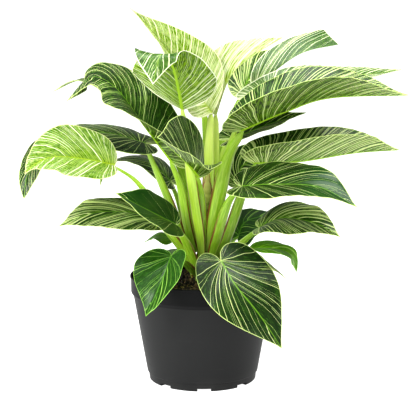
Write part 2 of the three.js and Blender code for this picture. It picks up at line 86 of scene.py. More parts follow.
class Nodes:
    """Adds nodes to a tree: first a node's settings, then the values or links of its sockets."""

    def __init__(self, tree):
        self.tree = tree

    def add(self, kind, settings=None, inputs=(), output=0):
        node = self.tree.nodes.new(kind)
        for name, value in (settings or {}).items():
            setattr(node, name, value)
        pairs = inputs.items() if isinstance(inputs, dict) else enumerate(inputs)
        for key, value in pairs:
            if isinstance(value, Value):
                self.tree.links.new(value.socket, node.inputs[key])
            else:
                node.inputs[key].default_value = value
        return Value(self, node.outputs[output]) if node.outputs else node

    def smooth(self, value, low, high):
        """0 below low, 1 above high, and a soft step between them."""
        settings = {"interpolation_type": "SMOOTHSTEP"}
        return self.add("ShaderNodeMapRange", settings, [value, low, high, 0.0, 1.0])

    def vector(self, x, y, z):
        return self.add("ShaderNodeCombineXYZ", {}, [x, y, z])

    def parts(self, vector):
        """The X, Y and Z of a vector."""
        x = self.add("ShaderNodeSeparateXYZ", {}, [vector])
        return x, x.output("Y"), x.output("Z")

    def noise(self, place, scale=1.0, detail=2.0, roughness=0.5):
        inputs = {"Vector": place, "Scale": scale, "Detail": detail, "Roughness": roughness}
        return self.add("ShaderNodeTexNoise", {}, inputs)

    def dice(self, x, y):
        """Three random numbers from 0 to 1 for each pair of whole numbers."""
        place = self.vector(x, y, 0.5)
        colour = self.add("ShaderNodeTexWhiteNoise", {"noise_dimensions": "3D"}, {"Vector": place}, 1)
        red = self.add("ShaderNodeSeparateColor", {}, [colour])
        return red, red.output("Green"), red.output("Blue")

    def blend(self, share, first, second):
        """A colour between two colours."""
        return self.add("ShaderNodeMix", {"data_type": "RGBA"}, {0: share, 6: first, 7: second}, 2)

    def uv(self, name):
        return self.parts(self.add("ShaderNodeUVMap", {"uv_map": name}))[:2]

    def attribute(self, name, output="Fac"):
        return self.add("ShaderNodeAttribute", {"attribute_name": name}, (), output)


def srgb(red, green, blue):
    """A screen colour, 0 to 255, as the linear colour that shaders use."""
    def linear(level):
        share = level / 255
        return share / 12.92 if share <= 0.04045 else ((share + 0.055) / 1.055) ** 2.4
    return (linear(red), linear(green), linear(blue), 1.0)


class Finish(Nodes):
    """A material. Its surface is one Principled shader."""

    def __init__(self, name):
        self.material = bpy.data.materials.new(name)
        self.material.use_nodes = True
        super().__init__(self.material.node_tree)
        self.shader = self.tree.nodes["Principled BSDF"]

    def surface(self, **sockets):
        for name, value in sockets.items():
            socket = self.shader.inputs[name.replace("_", " ")]
            if isinstance(value, Value):
                self.tree.links.new(value.socket, socket)
            else:
                socket.default_value = value
        return self.material

    def place(self):
        """Object coordinates, in metres."""
        return self.add("ShaderNodeTexCoord", {}, (), "Object")

    def bump(self, height, depth):
        """The normal of a surface whose height, 0 to 1, is depth millimetres."""
        inputs = {"Strength": 1.0, "Distance": depth * MM, "Height": height}
        return self.add("ShaderNodeBump", {}, inputs)


# ---- Leaves ----
# Points are in millimetres in the pot's frame, and are those of the leaf solids.
# base: where the stalk joins the blade. via and tip: the rest of the midrib. left and right:
# the margin at the widest place. stalk: points from the blade down to the foot. foot:
# bearing round the stem in degrees, and height. lobe, widest, full and taper shape the
# outline, and lean slants a half towards the tip. curl, fold and twist bend the blade.
# face is the bearing that the stalk's flat side faces, where it isn't the foot's own, and
# thick how stout the stalk is. sweep is how far the veins run forward, and streaks, mostly
# 0 to 1, how much of the blade is light at its base and tip. kind names the blade's look,
# and slot its material slot, where that isn't the look's own.
LEAVES = {
    "crown_left": dict(
        base=(11, 4, 298), via=[(-16, 8, 333), (-43, 10, 372), (-62, 10, 395)], tip=(-80, 6, 414),
        left=(-22, -34, 333), right=(16, 14, 362), stalk=[(7, 2, 241)], foot=(-25, 166),
        fold_base=(-40, 0), lobe=0, widest=0.24, full=0.2, taper=0, lean=(0.05, 0.35),
        face=-80, sweep=1.9, thick=1.15, kind="pale", streaks=(0.85, 0.45)),
    "crown_right": dict(
        base=(15, 12, 294), via=[(32, 20, 338), (60, 26, 362)], tip=(91, 30, 381),
        left=(-4, 30, 346), right=(16, 58, 338), stalk=[(13, 12, 246)], foot=(72, 168),
        fold_base=(20, 20), lobe=0, widest=0.24, full=0.25, lean=(0.3, 0.3),
        sweep=4.5, thick=1.1, kind="pale", streaks=(1.05, 0.95)),
    "front_arch": dict(
        base=(-21, -45, 305.5), via=[(-25, -56, 330), (-31, -67, 354), (-42, -83, 366)],
        tip=(-50, -98, 336), left=(17, -50, 331), right=(-74, -60, 357), foot=(-96, 134),
        stalk=[(-16, -48, 268), (-13, -41, 241), (-7, -24, 194), (-2, -15, 159)],
        curl=(20, 20), fold_tip=(-32, 0), lobe=0, widest=0.2, full=0.12, lean=(0.12, 0.75),
        sweep=3, kind="young", streaks=(0.65, 0.5)),
    "left_large": dict(
        base=(-33, -14, 246), via=[(-62, -22, 286), (-93, -32, 329), (-119, -42, 340)],
        tip=(-143, -50, 316), left=(-77, -74, 312), right=(-54, -4, 338),
        stalk=[(-24, -8, 217), (-17, -6, 175)], foot=(-162, 144),
        fold_base=(45, 0), fold_tip=(-60, -80), widest=0.42, full=0.34, taper=0.35,
        face=-112, thick=0.95, sweep=1.4, streaks=(0.55, 0.45)),
    "left_back_high": dict(
        base=(-59, 40, 285), via=[(-95, 62, 313), (-138, 84, 330)], tip=(-177, 104, 315),
        left=(-88, 34, 301), right=(-85, 88, 323), stalk=[(-22, 41, 226)], foot=(122, 144)),
    "left_lime": dict(
        base=(-92, -62, 249), via=[(-119, -72, 256), (-151, -88, 261), (-171, -96, 255)],
        tip=(-182, -102, 245), left=(-136, -116, 244), right=(-135, -66, 292),
        stalk=[(-67, -48, 226), (-35, -30, 172)], foot=(-137, 133),
        widest=0.48, full=0.2, taper=0.25, lobe=0.03, sweep=2, kind="lime", streaks=(0.6, 0.6)),
    "left_arching": dict(
        base=(-62, 4, 265), via=[(-105, 8, 276), (-151, 12, 274), (-183, 14, 254), (-196, 14, 227)],
        tip=(-200, 12, 201), left=(-102, -26, 261), right=(-107, 42, 281),
        stalk=[(-48, 4, 226), (-34, 2, 193), (-21, -2, 157)], foot=(-176, 134),
        curl=(-20, -20), twist=(0, 80), full=0.36, taper=0.5, face=-125, sweep=2.5, streaks=(0.4, 0.15)),
    "left_mid": dict(
        base=(-35, 19, 220), via=[(-59, 35, 240), (-90, 54, 244), (-113, 70, 229)],
        tip=(-121, 80, 206), left=(-63, 19, 233), right=(-56, 62, 244),
        stalk=[(-26, 13, 195)], foot=(150, 130)),
    "front_fold": dict(
        base=(-4, -38, 233), via=[(-15, -62, 250), (-33, -95, 272)], tip=(-45, -120, 285),
        left=(4, -100, 253), right=(-20, -64, 305), stalk=[(-2, -20, 206)], foot=(-82, 150),
        fold_base=(60, 0), widest=0.42, full=0.36, sweep=3.5, streaks=(0.5, 0.4)),
    "right_large": dict(
        base=(42, -25, 282), via=[(89, -24, 302), (138, -20, 317)], tip=(225, -8, 319),
        left=(94, 15, 342), right=(84, -66, 330), stalk=[(29, -20, 255), (18, -16, 210)],
        foot=(-50, 146), lobe=0.09, full=0.45, lean=(0.2, -0.2), face=-72, sweep=1.9, thick=1.5,
        streaks=(0.65, 0.75)),
    "right_large_back": dict(
        base=(56, 25, 313), via=[(108, 44, 330), (169, 66, 335)], tip=(237, 88, 342),
        left=(104, 62, 347), right=(103, 8, 321), stalk=[(27, 14, 254)], foot=(22, 156),
        sweep=2, kind="young", streaks=(0.8, 0.6)),
    "right_top": dict(
        base=(58, 72, 318.8), via=[(83, 80, 340), (117, 92, 361)], tip=(160, 108, 370),
        left=(86, 102, 369), right=(84, 100, 345), stalk=[(26, 48, 250), (10, 20, 180)],
        foot=(62, 146), fold_base=(25, 25), lobe=0, widest=0.5, full=0.5, taper=1.3, lean=(0.2, 0.2),
        sweep=4, kind="young", streaks=(0.45, 0.25)),
    "right_top_back": dict(
        base=(46, 92, 312), via=[(56, 106, 332)], tip=(89, 130, 367),
        left=(34, 104, 340), right=(73, 116, 327), stalk=[(20, 60, 250)], foot=(80, 136),
        slot="young_blade", streaks=(0.9, 0.9)),
    "right_upper": dict(
        base=(57, 4, 243), via=[(109, 12, 244), (171, 24, 252)], tip=(223, 36, 254),
        left=(122, 42, 278), right=(120, -20, 273), stalk=[(45, 2, 211), (26, -2, 157)],
        foot=(-6, 130), widest=0.4, full=0.4, taper=0.3, face=-66, thick=1.15, sweep=1.7,
        slot="young_blade", streaks=(0.95, 0.75)),
    "right_mid": dict(
        base=(42, -38, 223), via=[(75, -52, 227), (122, -72, 227)], tip=(161, -92, 209),
        left=(80, -22, 247), right=(68, -90, 218), stalk=[(28, -28, 203), (15, -16, 160)],
        foot=(-47, 130), curl=(-25, -10), full=0.4, face=-66, sweep=3.2, thick=1.1, streaks=(0.4, -0.2)),
    "right_lower": dict(
        base=(63, -8, 173), via=[(88, -18, 185), (121, -34, 182)], tip=(149, -48, 169),
        left=(100, 4, 200), right=(96, -60, 174), stalk=[(44, -6, 155)], foot=(-14, 120),
        curl=(-30, -20), widest=0.38, lobe=0.07, face=-60, streaks=(0.7, 0.7)),
    "right_small": dict(
        base=(54, 2, 147), via=[(78, 3, 147), (98, 4, 140)], tip=(106, 6, 119),
        left=(83, 16, 152), right=(81, -14, 144), stalk=[(36, 2, 138)], foot=(6, 116),
        curl=(-30, -30), twist=(0, -50), widest=0.45, full=0.36, taper=0.3, lobe=0.02, kind="plain"),
    "front_right_heart": dict(
        base=(20, -66, 147), via=[(35, -86, 125), (59, -97, 97)], tip=(84, -98, 59),
        left=(69, -62, 145), right=(6, -96, 108), stalk=[(12, -44, 141)], foot=(-76, 116),
        lobe=0.16, sweep=5, streaks=(0.16, 0.14)),
    "front_left_heart": dict(
        base=(-33, -64, 152), via=[(-40, -80, 135), (-49, -93, 115)], tip=(-59, -98, 94),
        left=(-24, -104, 135), right=(-71, -66, 145), stalk=[(-20, -44, 141)], foot=(-112, 116),
        sweep=4.5, kind="old"),
    "left_low_back": dict(
        base=(-34, 8, 137), via=[(-52, 35, 135)], tip=(-75, 68, 110), left=(-62, 26, 129),
        right=(-43, 60, 137), stalk=[(-16, 4, 128)], foot=(172, 114), kind="plain"),
    "left_low_small": dict(
        base=(-32, 14, 154), via=[(-48, 22, 162)], tip=(-67, 34, 148), left=(-50, 0, 155),
        right=(-51, 46, 162), stalk=[(-19, 9, 142)], foot=(140, 122), lobe=0.04, kind="plain"),
    "front_left_dark": dict(
        base=(-28, -48, 183), via=[(-45, -60, 194), (-67, -78, 209)], tip=(-89, -94, 224),
        left=(-49, -92, 188), right=(-37, -28, 207), stalk=[(-17, -30, 158)], foot=(-116, 122),
        streaks=(0.05, 0.02)),
    "left_lower": dict(
        base=(-46, -24, 181), via=[(-78, -36, 194), (-118, -54, 196)], tip=(-152, -70, 185),
        left=(-97, -76, 183), right=(-97, -18, 208), stalk=[(-23, -8, 148)], foot=(-162, 119),
        lobe=0.04, widest=0.45, face=-120, streaks=(0.75, 0.75)),
    "right_low_dark": dict(
        base=(40, 22, 157), via=[(51, 44, 171)], tip=(91, 92, 173), left=(38, 52, 181),
        right=(71, 52, 159), stalk=[(24, 10, 144)], foot=(24, 122), kind="old"),
    "right_low_back": dict(
        base=(40, 17, 131), via=[(66, 40, 129)], tip=(99, 68, 98), left=(60, 56, 136),
        right=(60, 28, 124), stalk=[(22, 14, 124)], foot=(36, 113)),
    "centre_back": dict(
        base=(34, 34, 267), via=[(72, 36, 282)], tip=(117, 40, 296), left=(45, 50, 288),
        right=(60, 20, 273), stalk=[(24, 25, 232), (13, 9, 175)], foot=(28, 138), lobe=0.2),
    "right_shaded": dict(
        base=(38, 34, 213), via=[(51, 56, 237)], tip=(111, 112, 242), left=(41, 62, 255),
        right=(71, 70, 222), stalk=[(22, 14, 177)], foot=(28, 128), lobe=0.06),
    "back_high": dict(
        base=(2, 52, 300), via=[(-18, 84, 322)], tip=(-56, 124, 336), left=(-38, 66, 314),
        right=(-4, 98, 336), stalk=[(6, 26, 232)], foot=(92, 152), lobe=0.05),
}
SHAPE_DEFAULTS = dict(
    lobe=0.1, taper=0.2, widest=0.28, full=0.32, curl=(0, 0), fold_base=(0, 0), fold_tip=(0, 0),
    twist=(0, 0), lean=(0, 0), sweep=3, thick=1, kind="mature", streaks=(0.5, 0.5))

LOBE_SHARE = 0.42          # share of the margin, from base to tip, that is lobe
VEIN_SHARE = 0.1           # veins of this share of the margin start at the base itself
VEIN_BOW = 0.09            # how far the veins bow outwards, and where along the margin
BOW_START = 0.3            # they begin to bow and bow fully
BOW_FULL = 0.7
ROWS = 130                 # mesh rows from base to tip, and columns from midrib to margin
COLUMNS = 22
ROW_CROWDING = 1.4         # over 1, the rows stand closer towards the tip
EVEN_COLUMNS = 0.2         # at 1 the columns are even, at 0 they crowd at the midrib and margin
BLADE_THICKNESS = 0.55
MARGIN_THICKNESS = 0.35    # share of the thickness that is left at the margin
MARGIN_TAPER = 1.2         # the blade thins over this width
VEIN_GAP = 6.5             # length of blade for each main vein
VEIN_DEPTH = 0.13
VEIN_FADE = 4              # veins are flush with the blade at the midrib and the margin
MIDRIB_RADIUS = 1.3        # how far the midrib stands out under the blade, and how wide
MIDRIB_WIDTH = 1.5
GROOVE_DEPTH = 0.55        # the groove that lies over the midrib
GROOVE_WIDTH = 1.3
MIDRIB_TIP = 0.45          # half width of its line at the tip, and what it gains by the base
MIDRIB_SWELL = 0.8
MIDRIB_REACH = 3.0         # the halves meet in a soft crease of this half width
WAVE = 1.0                 # how far the margin waves up and down, and ripples at the veins
RIPPLE = 0.35
WAVES = (2.2, 4.2)         # fewest and most waves along a margin
MARGIN_STEPS = 500
WELD_DISTANCE = 0.0005


def curve_through(points, steps=48):
    """Points along a smooth curve through the given ones."""
    knots = np.array(points, float)
    knots = np.vstack([2 * knots[0] - knots[1], knots, 2 * knots[-1] - knots[-2]])
    t = np.linspace(0, 1, steps, endpoint=False)[:, None]
    runs = []
    for a, b, c, d in zip(knots, knots[1:], knots[2:], knots[3:]):
        cubic = (3 * b - a - 3 * c + d) * t ** 3
        square = (2 * a - 5 * b + 4 * c - d) * t ** 2
        runs.append(0.5 * (2 * b + (c - a) * t + square + cubic))
    return np.vstack([*runs, knots[-2:-1]])


def unit(vectors):
    return vectors / np.maximum(np.linalg.norm(vectors, axis=-1, keepdims=True), 1e-9)


class Path:
    """A smooth curve, read by the share of its length."""

    def __init__(self, points):
        self.points = curve_through(points)
        steps = np.linalg.norm(np.diff(self.points, axis=0), axis=1)
        distance = np.concatenate([[0], np.cumsum(steps)])
        self.length = distance[-1]
        self.shares = distance / self.length
        self.ways = unit(np.gradient(self.points, axis=0))

    def _read(self, table, share):
        share = np.clip(share, 0, 1)
        return np.stack([np.interp(share, self.shares, table[:, k]) for k in range(3)], -1)

    def place(self, share):
        return self._read(self.points, share)

    def way(self, share):
        return unit(self._read(self.ways, share))


def bezier(a, b, c, d, t):
    m = 1 - t
    return m ** 3 * a + 3 * m * m * t * b + 3 * m * t * t * c + t ** 3 * d


class Blade:
    """A leaf blade, worked out flat as two half outlines with veins, then bent along its midrib."""

    def __init__(self, plan):
        self.__dict__.update(SHAPE_DEFAULTS)
        self.__dict__.update(plan)
        self.midrib = Path([self.base, *self.via, self.tip])
        self.length = self.midrib.length
        centre = self.midrib.place(self.widest)
        along = self.midrib.way(self.widest)
        arms = []
        for point in (self.left, self.right):
            arm = np.array(point, float) - centre
            arms.append(arm - along * arm.dot(along))
        self.across = unit(unit(arms[1]) - unit(arms[0]))
        up = np.cross(self.across, along)
        self.halves = []
        for side, arm in enumerate(arms):
            out = 1 if side else -1
            half_curl = math.radians(self.curl[side]) / 2
            slope = math.atan2(arm.dot(up), out * arm.dot(self.across))
            chord = np.linalg.norm(arm)
            width = chord * (half_curl / math.sin(half_curl) if half_curl else 1)
            bend = 2 * half_curl / width
            self.halves.append(dict(out=out, width=width, slope=slope - half_curl, bend=bend))

    def frames(self, share):
        """The ways forward, right and up at shares of the midrib's length."""
        forward = self.midrib.way(share)
        right = unit(self.across - forward * (forward @ self.across)[..., None])
        before = np.clip((self.widest - share) / self.widest, 0, None)
        after = np.clip((share - self.widest) / (1 - self.widest), 0, None)
        turn = np.radians(self.twist[0] * before + self.twist[1] * after ** 2)[..., None]
        up = np.cross(right, forward)
        right = right * np.cos(turn) + up * np.sin(turn)
        return forward, right, np.cross(right, forward)

    def margin(self, s):
        behind = np.clip(s / LOBE_SHARE, 0, 1)
        ahead = np.clip((s - LOBE_SHARE) / (1 - LOBE_SHARE), 0, 1)
        lobe_along = bezier(0, -1.5 * self.lobe, -1.25 * self.lobe, self.widest, behind)
        tip_along = bezier(self.widest, self.widest + self.full, 0.84, 1, ahead)
        lobe_out = bezier(0, 0.12, 1, 1, behind)
        tip_out = bezier(1, 1, self.taper, 0, ahead)
        in_lobe = s < LOBE_SHARE
        return np.where(in_lobe, lobe_along, tip_along), np.where(in_lobe, lobe_out, tip_out)

    def flat(self, s, v, width):
        """Distances along and out from the midrib: s runs along the margin, v along a vein."""
        share_along, share_out = self.margin(s)
        start = np.clip((s - VEIN_SHARE) / (1 - VEIN_SHARE), 0, 1) ** self.sweep * self.length
        along = share_along * self.length
        out = share_out * width
        run = along - start
        bow = VEIN_BOW * np.clip((s - BOW_START) / (BOW_FULL - BOW_START), 0, 1)
        bend_along = start + 0.5 * run - bow * out
        bend_out = 0.5 * out + bow * run
        m = 1 - v
        return m * m * start + 2 * m * v * bend_along + v * v * along, 2 * m * v * bend_out + v * v * out

    def slanted(self, s, v, side):
        """The flat half with its lean."""
        along, out = self.flat(s, v, self.halves[side]["width"])
        return along + self.lean[side] * out, out

    def to_margin(self, s, v, side):
        """How far each point of a flat half lies from the nearest point of its margin."""
        points = np.stack(self.slanted(s, v, side), -1)
        steps = np.linspace(0, 1, MARGIN_STEPS)
        margin = np.stack(self.slanted(steps, np.ones(MARGIN_STEPS), side), -1)
        return np.linalg.norm(points[..., None, :] - margin, axis=-1).min(-1)

    def surface(self, s, v, side):
        """Points of one half, and how far each lies along and out from the midrib."""
        half = self.halves[side]
        along, out = self.slanted(s, v, side)
        share = along / self.length
        forward, right, up = self.frames(share)
        place = self.midrib.place(share) + forward * np.minimum(along, 0)[..., None]
        held = np.clip(share, -0.1, 1)
        fold = np.where(
            held < self.widest,
            self.fold_base[side] * (self.widest - held) / self.widest,
            self.fold_tip[side] * (held - self.widest) / (1 - self.widest))
        slope = half["slope"] + np.radians(fold)
        bend = half["bend"]
        if abs(bend) > 1e-6:
            sideways = (np.sin(slope + bend * out) - np.sin(slope)) / bend
            rise = (np.cos(slope) - np.cos(slope + bend * out)) / bend
        else:
            sideways = out * np.cos(slope)
            rise = out * np.sin(slope)
        place = place + right * (half["out"] * sideways)[..., None] + up * rise[..., None]
        return place, share, out


def grid_normals(grid):
    """Normals of a grid of points, and its spacing from row to row, across the columns."""
    down = np.gradient(grid, axis=0)
    over = unit(np.gradient(grid, axis=1))
    across = np.cross(over, down)
    return unit(across), np.linalg.norm(across, axis=-1)


def mesh_object(name, vertices, faces, maps=None):
    """A mesh in metres from points in millimetres, with UV maps given as numbers for each vertex."""
    mesh = bpy.data.meshes.new(name)
    mesh.from_pydata((np.asarray(vertices) * MM).tolist(), [], [tuple(map(int, face)) for face in faces])
    loops = np.zeros(len(mesh.loops), int)
    mesh.loops.foreach_get("vertex_index", loops)
    for map_name, values in (maps or {}).items():
        layer = mesh.uv_layers.new(name=map_name)
        layer.data.foreach_set("uv", np.asarray(values, np.float32)[loops].ravel())
    piece = bpy.data.objects.new(name, mesh)
    bpy.context.scene.collection.objects.link(piece)
    return piece


def weld(piece):
    """Joins the points that lie together, and shades the mesh smooth."""
    cage = bmesh.new()
    cage.from_mesh(piece.data)
    bmesh.ops.remove_doubles(cage, verts=cage.verts, dist=WELD_DISTANCE * MM)
    for face in cage.faces:
        face.smooth = True
    cage.to_mesh(piece.data)
    cage.free()


def grid_faces(rows, columns, first=0, flip=False):
    """Quads of a grid of points that is stored row by row."""
    i, j = np.meshgrid(np.arange(rows - 1), np.arange(columns - 1), indexing="ij")
    a = first + i * columns + j
    quads = np.stack([a, a + 1, a + columns + 1, a + columns], -1).reshape(-1, 4)
    return quads[:, ::-1] if flip else quads


def rib_normals(left, right):
    """Normals along the midrib, between those of both halves. The first few have no length."""
    normals = left[:, 0] + right[:, 0]
    first = np.argmax(np.linalg.norm(normals, axis=-1) > 0.1)
    normals[:first] = normals[first]
    normals[-1] = normals[-2]
    return unit(normals)[:, None]


def vein_grid():
    """For each point of a half blade, the share along its margin and along its vein."""
    s = (1 - np.linspace(1, 0, ROWS) ** ROW_CROWDING)[:, None] * np.ones(COLUMNS)
    steps = np.linspace(0, 1, COLUMNS)
    crowded = steps * steps * (3 - 2 * steps)
    v = (EVEN_COLUMNS * steps + (1 - EVEN_COLUMNS) * crowded)[None, :] * np.ones((ROWS, 1))
    return s, v


def vein_spacing(s, row_gap, veins):
    """Width of a main vein's lane at each point."""
    crowding = np.maximum(1 - s, 0.001) ** ((ROW_CROWDING - 1) / ROW_CROWDING)
    rate = ROW_CROWDING * crowding / (ROWS - 1)
    return row_gap / (rate * veins)


def blade_relief(s, v, out, held, to_edge, thinned, veins, wave, phase):
    """How far the upper and the lower skin stand above the middle of the blade."""
    inside = np.sin(math.pi * s)
    body = np.clip(out / VEIN_FADE, 0, 1) * np.clip(to_edge / VEIN_FADE, 0, 1)
    sunk = VEIN_DEPTH * body * -np.cos(math.pi * veins * s)
    sway = WAVE * v ** 3 * np.sin(2 * math.pi * wave * s + phase) * inside
    sway = sway + RIPPLE * v ** 8 * np.sin(math.pi * veins * s) * inside
    full = np.clip(thinned / MARGIN_TAPER, 0, 1) ** 0.5
    half = 0.5 * BLADE_THICKNESS * (MARGIN_THICKNESS + (1 - MARGIN_THICKNESS) * full)
    rib = MIDRIB_RADIUS * (0.25 + 0.75 * held) * np.exp(-(out / MIDRIB_WIDTH) ** 2)
    groove = GROOVE_DEPTH * (0.4 + 0.6 * held) * np.exp(-(out / GROOVE_WIDTH) ** 2)
    return half + sway + sunk - groove, sway + sunk - half - rib


def blade_piece(name, plan, number, chance):
    """A thin closed shell with sunk veins above, a raised midrib below and a wavy margin."""
    blade = Blade(plan)
    s, v = vein_grid()
    veins = round(blade.length / VEIN_GAP)
    phases = chance.uniform(0, 2 * math.pi, 2)
    waves = chance.uniform(*WAVES, 2)
    surfaces = [blade.surface(s, v, side) for side in (0, 1)]
    normals, row_gaps = zip(*(grid_normals(grid) for grid, _, _ in surfaces))
    normals = [-normals[0], normals[1]]
    rib_normal = rib_normals(*normals)
    reaches = [blade.to_margin(s, v, side) for side in (0, 1)]
    rib_reach = np.minimum(reaches[0][:, :1], reaches[1][:, :1])
    vertices, faces = [], []
    maps = {"veins": [], "leaf": [], "reach": [], "lines": []}
    count = 0
    for side, (grid, share, out) in enumerate(surfaces):
        to_edge = reaches[side]
        near_rib = np.clip(1 - out / MIDRIB_REACH, 0, 1)
        near_rib[[0, -1]] = 1
        normal = unit(rib_normal * near_rib[..., None] + normals[side] * (1 - near_rib[..., None]))
        thinned = to_edge * (1 - near_rib) + rib_reach * near_rib
        held = 1 - np.clip(share, 0, 1)
        skins = blade_relief(s, v, out, held, to_edge, thinned, veins, waves[side], phases[side])
        for under, offset in enumerate(skins):
            offset[[0, -1]] = offset[[0, -1], :1]
            vertices.append((grid + normal * offset[..., None]).reshape(-1, 3))
            faces.append(grid_faces(ROWS, COLUMNS, count, flip=bool(side) == bool(under)))
            count += ROWS * COLUMNS
            rows = {
                "veins": (s * (veins if side else -veins), v),
                "leaf": (number, under),
                "reach": (out / (MIDRIB_TIP + MIDRIB_SWELL * held), to_edge),
                "lines": (vein_spacing(s, row_gaps[side], veins), np.interp(share, (0, 1), blade.streaks))}
            for label, (first, second) in rows.items():
                pair = np.stack(np.broadcast_arrays(first + 0 * s, second + 0 * s), -1)
                maps[label].append(pair.reshape(-1, 2))
        top = count - 2 * ROWS * COLUMNS + np.arange(ROWS) * COLUMNS + COLUMNS - 1
        low = top + ROWS * COLUMNS
        strip = np.stack([top[:-1], low[:-1], low[1:], top[1:]], -1)
        faces.append(strip if side else strip[:, ::-1])
    maps = {label: np.vstack(pairs) for label, pairs in maps.items()}
    piece = mesh_object(name, np.vstack(vertices), np.vstack(faces), maps)
    weld(piece)
    return piece


# ---- Leaf finishes ----

LOOKS = {
    "mature": dict(
        deep=srgb(20, 42, 8), fleck=srgb(54, 92, 20), lime=srgb(112, 160, 40), cream=srgb(208, 222, 150),
        below=srgb(36, 56, 0), below_fleck=srgb(92, 126, 14), edge=srgb(190, 210, 128),
        fleck_from=0.52, fine=0.55, bold=0.85, wash=0.0, stalk=0.45, rim=1.1),
    "young": dict(
        deep=srgb(48, 82, 26), fleck=srgb(84, 120, 46), lime=srgb(134, 166, 66), cream=srgb(212, 220, 178),
        below=srgb(62, 92, 0), below_fleck=srgb(124, 160, 10), edge=srgb(224, 230, 196),
        fleck_from=0.5, fine=0.5, bold=1.0, wash=0.03, stalk=0.8, rim=1.9),
    "pale": dict(
        deep=srgb(92, 128, 0), fleck=srgb(136, 164, 36), lime=srgb(164, 186, 76), cream=srgb(224, 228, 186),
        below=srgb(104, 138, 4), below_fleck=srgb(152, 178, 54), edge=srgb(222, 228, 178),
        fleck_from=0.52, fine=0.8, bold=1.0, wash=0.36, stalk=0.9, rim=1.2),
    "lime": dict(
        deep=srgb(70, 112, 0), fleck=srgb(112, 150, 0), lime=srgb(156, 182, 40), cream=srgb(226, 230, 196),
        below=srgb(76, 108, 0), below_fleck=srgb(132, 160, 20), edge=srgb(212, 222, 150),
        fleck_from=0.5, fine=0.95, bold=0.9, wash=0.12, stalk=0.6, rim=0.9),
    "old": dict(
        deep=srgb(28, 64, 10), fleck=srgb(46, 92, 20), lime=srgb(88, 142, 40), cream=srgb(142, 184, 84),
        below=srgb(60, 106, 14), below_fleck=srgb(96, 146, 28), edge=srgb(134, 182, 76),
        fleck_from=0.52, fine=0.25, bold=0.6, wash=0.0, stalk=0.15, rim=0.8),
    "plain": dict(
        deep=srgb(74, 126, 6), fleck=srgb(102, 152, 20), lime=srgb(132, 180, 56), cream=srgb(158, 198, 92),
        below=srgb(78, 126, 12), below_fleck=srgb(108, 156, 28), edge=srgb(146, 190, 78),
        fleck_from=0.52, fine=0.15, bold=0.35, wash=0.0, stalk=0.15, rim=0.7),
}
SLOTS = {
    "mature": "mature_blade", "young": "young_blade", "pale": "pale_blade",
    "lime": "pale_blade", "old": "old_blade", "plain": "old_blade"}
PLAIN_GREEN = srgb(24, 70, 20)
RIB_UNDER = srgb(150, 188, 40)
BASE_BLUSH = srgb(104, 44, 30)
BOLD_LINE = 0.42           # half widths of the light lines
FINE_LINE = 0.28
FINE_LANES = 3.3           # lanes of the other lines for each lane of the main veins
EXTRA_LANES = 1.6
LANE_FILL = 0.36           # the widest half line, as a share of its lane
MAIN_STRAY = 0.12          # how far a line may lie off the middle of its lane
OTHER_STRAY = 0.5


def pinstripes(finish, lane, number, lanes, share, half_width, spacing, shift):
    """Lines of even width along the veins. Each lane holds one line or none."""
    across = lane * lanes + (shift + 0.5)
    chance, place, weight = finish.dice(across.math("FLOOR"), number * 17 + shift)
    stray = (place - 0.5) * (OTHER_STRAY if shift else MAIN_STRAY)
    off_centre = abs(across.math("FRACT") - 0.5 - stray) / lanes
    half = (weight * weight + 0.35) * half_width
    half = half.math("MINIMUM", spacing * (LANE_FILL / lanes))
    line = 1 - finish.smooth(off_centre * spacing / half, 0.65, 1.25)
    return line * (chance < share), weight


